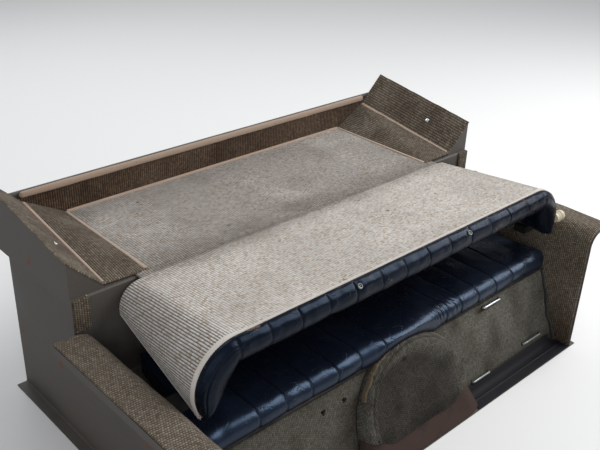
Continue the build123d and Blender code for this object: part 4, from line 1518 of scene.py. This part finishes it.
    def pierce(self, carpet: Piece) -> None:
        """Cuts the two ragged anchor holes by Boolean difference, then lines them with rusty rings."""
        h = self.hole_height / math.cos(self.heel.lean)
        angle = np.linspace(0, 2 * math.pi, 22, endpoint=False)
        depths = np.array([-0.004, 0.012])
        for number, x in enumerate(self.hole_places):
            ragged = 0.0070 + 0.0013 * np.sin(3 * angle + number) + 0.0008 * np.sin(7 * angle + 2 * number)
            rings = self.heel.point(x + ragged[None] * np.cos(angle)[None],
                                    h + ragged[None] * np.sin(angle)[None], depths[:, None])
            plug = piece(f"hole_cutter_{number}", rings, rings[..., :2])
            cut = carpet.modifiers.new("hole", "BOOLEAN")
            cut.operation, cut.object, cut.solver = "DIFFERENCE", plug, "EXACT"
            with bpy.context.temp_override(object=carpet, active_object=carpet):
                bpy.ops.object.modifier_apply(modifier="hole")
            bpy.data.objects.remove(plug)
            path = self.heel.point(x + 0.0056 * np.cos(angle), h + 0.0056 * np.sin(angle), 0.0012)
            spoke = unit(path - path.mean(axis=0))
            ring = swept_rings(path, spoke, self.heel.normal[None], oval(0.0016, 0.0012, 10))
            made = piece(f"anchor_ring_{number}", ring, ring[..., :2], closed=True)
            self.shop.place(made, RUST, "pan_paint")

    def make_shelf(self) -> None:
        """Flat carpet of the shelf, with a bound rear edge."""
        x = np.linspace(-self.shelf_half, self.shelf_half, 150)[:, None]
        y = np.linspace(*self.shelf_span, 60)[None]
        wave = 0.0009 * drift(x, y, 0.10, 61) + 0.0004 * drift(x, y, 0.03, 62)
        # Painted shade: the shelf darkens towards its front, into the crease by the backrest; the drift adds
        # soiling.
        dirt_and_shade = 0.3 * ease(-y, -0.13, -0.05) + 0.25 * np.clip(drift(x, y, 0.09, 63), 0, 1)
        self.lay("shelf_carpet_cloth", grid(x, y, SHELF_TOP + wave), UP, grid(x, y), dirt_and_shade, SHADED_SHELF_CARPET,
                 "ribbed_carpet", ["shelf_carpet"], (0.915, 0.35), ["shelf_panel"])
        path = grid(np.linspace(-0.455, 0.455, 200), 0.3935, SHELF_TOP + 0.0008)
        self.tape("shelf_binding_rear", path, (0.0, -0.3, 1.0), 0.009, 0.0026, BINDING)

    def make_bulkhead(self) -> None:
        """Carpet up the bulkhead, and the padded band along its top."""
        x = np.linspace(-self.bulkhead_half, self.bulkhead_half, 160)[:, None]
        z = np.linspace(*self.bulkhead_span, 20)[None]
        wave = 0.0006 * drift(x, z, 0.06, 71)
        dirt_and_shade = 0.15 + 0.2 * np.clip(drift(x, z, 0.05, 72), 0, 1)
        face = grid(x, self.bulkhead_y - np.abs(wave), z)
        self.lay("bulkhead_carpet_cloth", face, FORWARD, grid(x, z), dirt_and_shade, BULKHEAD_CARPET_TONE_AND_SHADE, "ribbed_carpet",
                 ["bulkhead_carpet"], (1.202, 0.063), ["bulkhead"])
        line = np.linspace(-self.band_half, self.band_half, 240)
        puff = 1 + 0.06 * drift(line, 0 * line, 0.045, 74)
        ends = np.sqrt(np.clip(1 - np.clip((np.abs(line) - 0.558) / 0.0081, 0, 1) ** 2, 0.02, 1))
        size = (ends * puff)[:, None]
        rings = swept_rings(grid(line, 0.3975, 0.5135), -size * FORWARD, size * UP,
                            oval(0.0046, 0.0082, 20, 0.8))
        made = piece("bulkhead_band", rings, grid(line[:, None], np.arange(20)[None] * 0.002))
        self.shop.place(made, BINDING, "trim_band", Body.PAN, ["bulkhead_trim"])

    def nose_contour(self, t: Array, narrow: Array, out: Array) -> tuple[Array, Array]:
        """Point and outward direction on the nose: legs below, a half circle above.

        Args:
            t: from -1 at the right foot over the crown to 1 at the left foot.
            narrow: how far the contour lies inside the nose's full width.
            out: distance in front of the board.

        Returns:
            Points, and unit vectors that lead away from the middle.
        """
        half = self.nose_half - narrow
        edge = self.nose_cut - 0.006 + 0.020 * ease(half, 0.10, 0.175)
        cut = (edge - out * math.sin(self.heel.lean)) / math.cos(self.heel.lean)
        share = 0.82
        angle = np.clip(t / share, -1, 1) * math.pi / 2
        down = np.clip((np.abs(t) - share) / (1 - share), 0, 1)
        x = half * np.sin(angle)
        h = self.nose_leg + half * np.cos(angle) - down * (self.nose_leg - cut)
        away = grid(np.sin(angle), np.cos(angle) * math.sin(self.heel.lean),
                    np.cos(angle) * math.cos(self.heel.lean))
        return self.heel.point(x, h, out), away

    def make_nose(self) -> None:
        """Domed carpet over the tunnel's nose: a gusset, a bevelled rim with a seam, a full front.

        Formula: the section is a rounded outline of (narrowing, distance): straight out from the board,
        a slope over the rim, then straight in to the middle with a soft swell.
        """
        narrow, out = rounded([(-0.001, 0.0053), (-0.001, 0.0325), (0.0140, 0.0483),
                               (self.nose_half - 0.0005, 0.0473)], 0.012, 84).T
        out = out + 0.0016 * ease(narrow, 0.03, 0.10)
        t = np.linspace(-1, 1, 180)[:, None]
        slope = unit(np.stack([np.gradient(narrow), np.gradient(out)], axis=1))
        line = 0.007 + 0.014 * ease(np.abs(t), 0.35, 0.95)
        seam = bell(narrow[None] - line, 0.0018)
        point, away = self.nose_contour(t, narrow[None], out[None])
        normal = unit(slope[None, :, 1:] * away + slope[None, :, :1] * self.heel.normal)
        bumps = 0.0013 * drift(point[..., 0], point[..., 2], 0.045, 81)
        welt = bell(narrow[None] - line - 0.005, 0.003)
        face = point + normal * (bumps - 0.0013 * seam + 0.0011 * welt)[..., None]
        x, z = face[..., 0], face[..., 2]
        plan = grid(x + np.sign(x) * (0.0473 - out[None]) + 0.12 * z, z)
        # Painted shade on the nose's face and the panel's own darker tone, with a wider lighter rim on the
        # left (+X) side where light falls.
        bare = ease(narrow[None] - line, -0.001, 0.010 + 0.055 * ease(x, -0.12, 0.10))
        tear = np.exp(-((x + 0.035) / 0.007) ** 2 - ((z - 0.219) / 0.004) ** 2)
        # Painted shade along the seam; the nose is also darker towards the bottom and at the tear.
        dirt_and_shade = np.clip(0.3 * np.clip(drift(x, z, 0.04, 84), 0, 1) + 0.3 * seam + 0.9 * tear
                       + 0.25 * ease(-z, -0.09, -0.062), 0, 0.95)
        self.lay("nose_carpet_cloth", face, normal, plan, dirt_and_shade, NOSE_CARPET, "square_weave",
                 ["tunnel_carpet"], (0.32, 0.25), ["tunnel_cover"], bare=bare)

    def make_apron(self) -> None:
        """Mat over the foot of the tunnel's nose, from its carpet's edge flaring down to the floor."""
        upper = rounded([(0.1765, -0.342), (0.1765, -0.3600), (0.1460, -0.3845), (-0.1460, -0.3845),
                         (-0.1765, -0.3600), (-0.1765, -0.342)], 0.012, 150)[:, None]
        lower = rounded([(0.2060, -0.3650), (0.2000, -0.3980), (0.1700, -0.4095), (-0.1700, -0.4095),
                         (-0.2000, -0.3980), (-0.2060, -0.3650)], 0.016, 150)[:, None]
        w = np.linspace(0, 1, 40)[None, :, None]
        flat = upper + (lower - upper) * w
        top = 0.0552 + 0.020 * ease(np.abs(upper[..., 0]), 0.10, 0.175)
        z = top + (0.0070 - top) * w[..., 0]
        face = np.concatenate([flat, z[..., None]], axis=-1)
        normal = grid_normals(face)
        normal *= np.sign((normal * (face - np.array([0.0, -0.30, 0.03]))).sum(axis=-1, keepdims=True))
        face = face + normal * (0.0006 * drift(face[..., 0], z, 0.03, 86))[..., None]
        self.lay("tunnel_mat", face, normal, grid(face[..., 0], z), 0.0, APRON_RUBBER, "black_rubber", [],
                 (0.44, 0.062), ["tunnel_cover"], 0.002)

    def make_fringe(self) -> None:
        """Lumpy brown padding that shows between the cushion and the top of the nose."""
        t = np.linspace(-0.56, 0.46, 260)
        lump = drift(t, 0 * t, 0.012, 87)
        path, up = self.nose_contour(t, 0.0008 - 0.0010 * lump, 0.0215 + 0.002 * drift(t, 0 * t, 0.03, 88))
        self.tape("padding_fringe", path, up, 0.015, 0.0042, JUTE, "trim_band")

    def make_flap(self) -> None:
        """Strip of carpet that fills the crease between backrest and shelf, bent by the fold."""
        x = np.linspace(-self.flap_half, self.flap_half, 160)[:, None]
        y = np.linspace(*self.flap_span, 18)[None]
        crease_y, top = self.crease
        sag = 0.0004 + 0.0009 * bell(y - crease_y, 0.008) + 0.0003 * drift(x, y, 0.03, 91)
        # Painted shade in the crease, on a strip dressed in the shelf's shaded carpet.
        dirt_and_shade = 0.25 + 0.2 * bell(y - crease_y, 0.006)
        made = cloth("crease_flap", grid(x, y, top - sag), UP, grid(x, y), {"dirt_and_shade": dirt_and_shade}, 0.003)
        self.shop.wardrobe.dress(made, SHADED_SHELF_CARPET)
        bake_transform(made)
        log.info("%s: %d faces, blended", made.name, len(made.data.polygons))


# Fittings


@dataclass
class Fittings:
    """Bars, studs, knob and snaps."""

    shop: Workshop
    heel: HeelPlane = HeelPlane()
    arch: ArchForm = ArchForm()
    bars: tuple[tuple[float, float, float, Finish], ...] = (
        (0.313, 0.386, 0.190, SATIN_CHROME), (0.226, 0.300, 0.030, DULL_CHROME),
        (0.452, 0.535, 0.042, DULL_CHROME))
    bar_radius: float = 0.0029
    snap_place: Span = (0.600, 0.166)

    def build(self) -> None:
        """Makes every fitting."""
        self.make_bars()
        self.make_studs()
        self.make_knob()
        self.make_arch_snaps()

    def turn(self, name: str, base: Array, axis: Array, profile: Array | Sequence[Span],
             finish: Finish, slot: str, body: Body = Body.PAN, stands_for: Sequence[str] = (),
             sides: int = 28) -> None:
        """Turns one fitting about its axis and places it."""
        made = turned(name, base, axis, np.array(profile), sides)
        self.shop.place(made, finish, slot, body, stands_for)

    def make_bars(self) -> None:
        """Bent chrome rods: a straight run with two rounded corners and a foot at each end."""
        inset, rise, bend = 0.003, 0.0112, 0.004
        quarter = np.linspace(0, math.pi / 2, 9)
        up = (self.heel.point(0, 1, 0) - self.heel.point(0, 0, 0))[None]
        for number, (x0, x1, z, finish) in enumerate(self.bars):
            h = z / math.cos(self.heel.lean)
            a, b = x0 + inset, x1 - inset
            x = np.concatenate([[a, a], a + bend - bend * np.cos(quarter), b - bend + bend * np.sin(quarter),
                                [b, b]])
            out = np.concatenate([[0.0055, 0.008], rise - bend + bend * np.sin(quarter),
                                  rise - bend + bend * np.cos(quarter), [0.008, 0.0055]])
            path = self.heel.point(x, h, out)
            side = unit(np.cross(unit(np.gradient(path, axis=0)), up))
            rings = swept_rings(path, side, up, oval(self.bar_radius, self.bar_radius, 16))
            made = piece(f"heel_bar_{number}", rings, rings[..., :2])
            self.shop.place(made, finish, "chrome", Body.PAN, [] if number else ["heel_bars"])
            for end, foot in enumerate((a, b)):
                self.turn(f"heel_bar_{number}_foot_{end}", self.heel.point(foot, h, 0.0052), self.heel.normal,
                          [(0.0, 0.0003), (0.0, 0.0046), (0.0006, 0.0050), (0.0012, 0.0044),
                           (0.0014, 0.0034), (0.0014, 0.0003)], RUST, "chrome")

    def make_studs(self) -> None:
        """Snap studs: a bright rim round a dark socket, turned about the lean of the roll."""
        lean = math.radians(42)
        axis = np.array([0.0, -math.cos(lean), math.sin(lean)])
        low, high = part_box("edge_studs")
        for number, x in enumerate(STUD_PLACES):
            base = np.array([x, (low.y + high.y) / 2 + 0.0003, (low.z + high.z) / 2 - 0.0002])
            self.turn(f"edge_stud_{number}", base, axis,
                      [(-0.001, 0.0003), (-0.001, 0.0062), (0.0010, 0.0064), (0.0022, 0.0060),
                       (0.0028, 0.0050), (0.0026, 0.0040), (0.0012, 0.0034), (0.0008, 0.0022),
                       (0.0020, 0.0016), (0.0026, 0.0003)],
                      DULL_CHROME, "chrome", Body.BACKREST, [] if number else ["edge_studs"])
            self.turn(f"edge_stud_{number}_socket", base, axis,
                      [(0.0007, 0.0002), (0.0013, 0.0036), (0.0015, 0.0030), (0.0012, 0.0002)],
                      RUBBER, "black_rubber", Body.BACKREST, sides=20)

    def make_knob(self) -> None:
        """Ivory knob turned from a disc, a waist and a domed head, on a collar set into the carpet."""
        low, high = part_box("end_knob")
        base = np.array([low.x, (low.y + high.y) / 2, (low.z + high.z) / 2])
        angle = np.linspace(0, math.pi / 2, 9)
        disc = grid(0.0035 + 0.0035 * np.sin(angle * 2 - math.pi / 2), 0.0125 + 0.0024 * np.sin(angle * 2))
        dome = grid(0.0270 - 0.006 + 0.006 * np.sin(angle), 0.0140 * np.cos(angle) ** 0.6 + 0.0002)
        waist = [(0.0072, 0.0100), (0.0085, 0.0088), (0.0105, 0.0088), (0.0118, 0.0112), (0.0138, 0.0134),
                 (0.0170, 0.0141)]
        self.turn("end_knob_ivory", base, LEFT,
                  np.concatenate([[(0.0, 0.0003), (0.0, 0.0118)], disc[1:-1], waist, dome]),
                  IVORY, "ivory_plastic", Body.BACKREST, ["end_knob"], 40)
        self.turn("end_knob_collar", base, LEFT,
                  [(-0.009, 0.0003), (-0.009, 0.0125), (0.0004, 0.0132), (0.0009, 0.0126), (0.0009, 0.0003)],
                  IVORY, "ivory_plastic", Body.BACKREST, sides=40)

    def make_arch_snaps(self) -> None:
        """One small snap on the steep part of each wheel arch's carpet."""
        slope = math.atan(self.arch.slope)
        x, y = self.snap_place
        for number, side in enumerate((-1, 1)):
            base = np.array([side * x, y, self.arch.base_z + self.arch.steep(x, y)])
            self.turn(f"arch_snap_{number}", base, np.array([-side * math.sin(slope), 0.0, math.cos(slope)]),
                      [(-0.001, 0.0003), (-0.001, 0.0060), (0.0014, 0.0060), (0.0026, 0.0048),
                       (0.0030, 0.0030), (0.0030, 0.0003)], CHROME, "chrome")


# Frame and stage


CAD_FINISHES = {
    PAN_PAINT: ["heel_board", "seat_platform", "shelf_panel", "bulkhead", "side_panel_left",
                "side_panel_right", "tunnel_cover", "wheel_arch_left", "wheel_arch_right"],
    WoodFinish(): ["cushion_boards"],
    PLATING: ["hinge_fixed_leaves", "hinge_moving_leaves", "hinge_pins"],
    RUBBER: ["stop_pads"],
    BOARD_PAINT: ["back_board"],
}


def dress_frame(wardrobe: Wardrobe) -> None:
    """Gives the CAD nodes that stay in view their finishes."""
    for finish, names in CAD_FINISHES.items():
        for name in names:
            wardrobe.dress(bpy.data.objects[name], finish)
            log.info("%s: finish %s", name, finish.name)


@dataclass
class Studio:
    """Floor, light and the camera at the photograph's viewpoint."""

    eye: Place = (-1.269, -1.265, 1.344)
    heading: float = 43.675
    pitch: float = 27.472
    roll: float = 2.205
    lens: float = 49.77
    lamps: tuple[tuple[str, Place, Place, float, float], ...] = (
        ("key", (2.7, -1.25, 2.95), (0.0, -0.1, 0.3), 2.8, 165.0),
        ("fill", (-2.6, -2.6, 2.2), (0.0, -0.1, 0.3), 3.0, 40.0),
        ("rear", (0.3, 3.2, 2.8), (0.0, 0.0, 0.4), 2.4, 40.0))
    sky: Colour = (0.93, 0.95, 1.0)
    sky_strength: float = 0.48

    def build(self) -> None:
        """Makes camera, floor, lamps and sky."""
        self.make_camera()
        self.make_floor()
        for lamp in self.lamps:
            self.make_light(*lamp)
        scene = bpy.context.scene
        scene.view_settings.view_transform = "Standard"
        world = bpy.data.worlds.new("studio")
        world.use_nodes = True
        back = world.node_tree.nodes["Background"]
        back.inputs[0].default_value = (*self.sky, 1.0)
        back.inputs[1].default_value = self.sky_strength
        scene.world = world

    def make_camera(self) -> None:
        """Camera turned by heading, pitch and roll, with its matrix built from its own axes."""
        h, p, r = (math.radians(v) for v in (self.heading, self.pitch, self.roll))
        ahead = np.array([math.sin(h) * math.cos(p), math.cos(h) * math.cos(p), -math.sin(p)])
        level = np.array([math.cos(h), -math.sin(h), 0.0])
        right = level * math.cos(r) + np.cross(level, ahead) * math.sin(r)
        up = np.cross(right, ahead)
        data = bpy.data.cameras.new("camera")
        data.lens, data.sensor_width, data.clip_end = self.lens, 36.0, 60.0
        camera = add("camera", data)
        camera.matrix_world = self.stance(right, up, -ahead, self.eye)
        bpy.context.scene.camera = camera

    def stance(self, right: Array, up: Array, back: Array, place: Place) -> Matrix:
        """Matrix whose columns are the three axes and the place."""
        rows = np.eye(4)
        rows[:3] = np.stack([right, up, back, place], axis=1)
        return Matrix(rows.tolist())

    def make_floor(self) -> None:
        """Wide pale floor, a shade under the seat."""
        mesh = bpy.data.meshes.new("floor")
        half, z = 9, -0.001
        mesh.from_pydata([(-half, -half, z), (half, -half, z), (half, half, z), (-half, half, z)], [],
                         [(0, 1, 2, 3)])
        floor = add("floor", mesh)
        material = bpy.data.materials.new("floor_paper")
        material.use_nodes = True
        shader = material.node_tree.nodes["Principled BSDF"]
        shader.inputs["Base Color"].default_value = (0.72, 0.72, 0.71, 1.0)
        shader.inputs["Roughness"].default_value = 0.9
        mesh.materials.append(material)

    def make_light(self, name: str, place: Place, target: Place, size: float, power: float) -> None:
        """Soft square lamp that looks at a target."""
        data = bpy.data.lights.new(name, "AREA")
        data.energy, data.size = power, size
        lamp = add(name, data)
        ahead = unit(np.array(target) - np.array(place))
        side = unit(np.cross(ahead, UP))
        lamp.matrix_world = self.stance(side, np.cross(side, ahead), -ahead, place)


def main() -> None:
    """Builds the scene in order: frame, backrest, cushion, carpets, fittings, studio."""
    logging.basicConfig(level=logging.INFO, format="%(name)s %(message)s")
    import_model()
    wardrobe = Wardrobe()
    shop = Workshop(wardrobe)
    dress_frame(wardrobe)
    Studio().build()
    Backrest(shop).build()
    Cushion(shop).build()
    PanCarpets(shop).build()
    Fittings(shop).build()


if __name__ == "__main__":
    main()
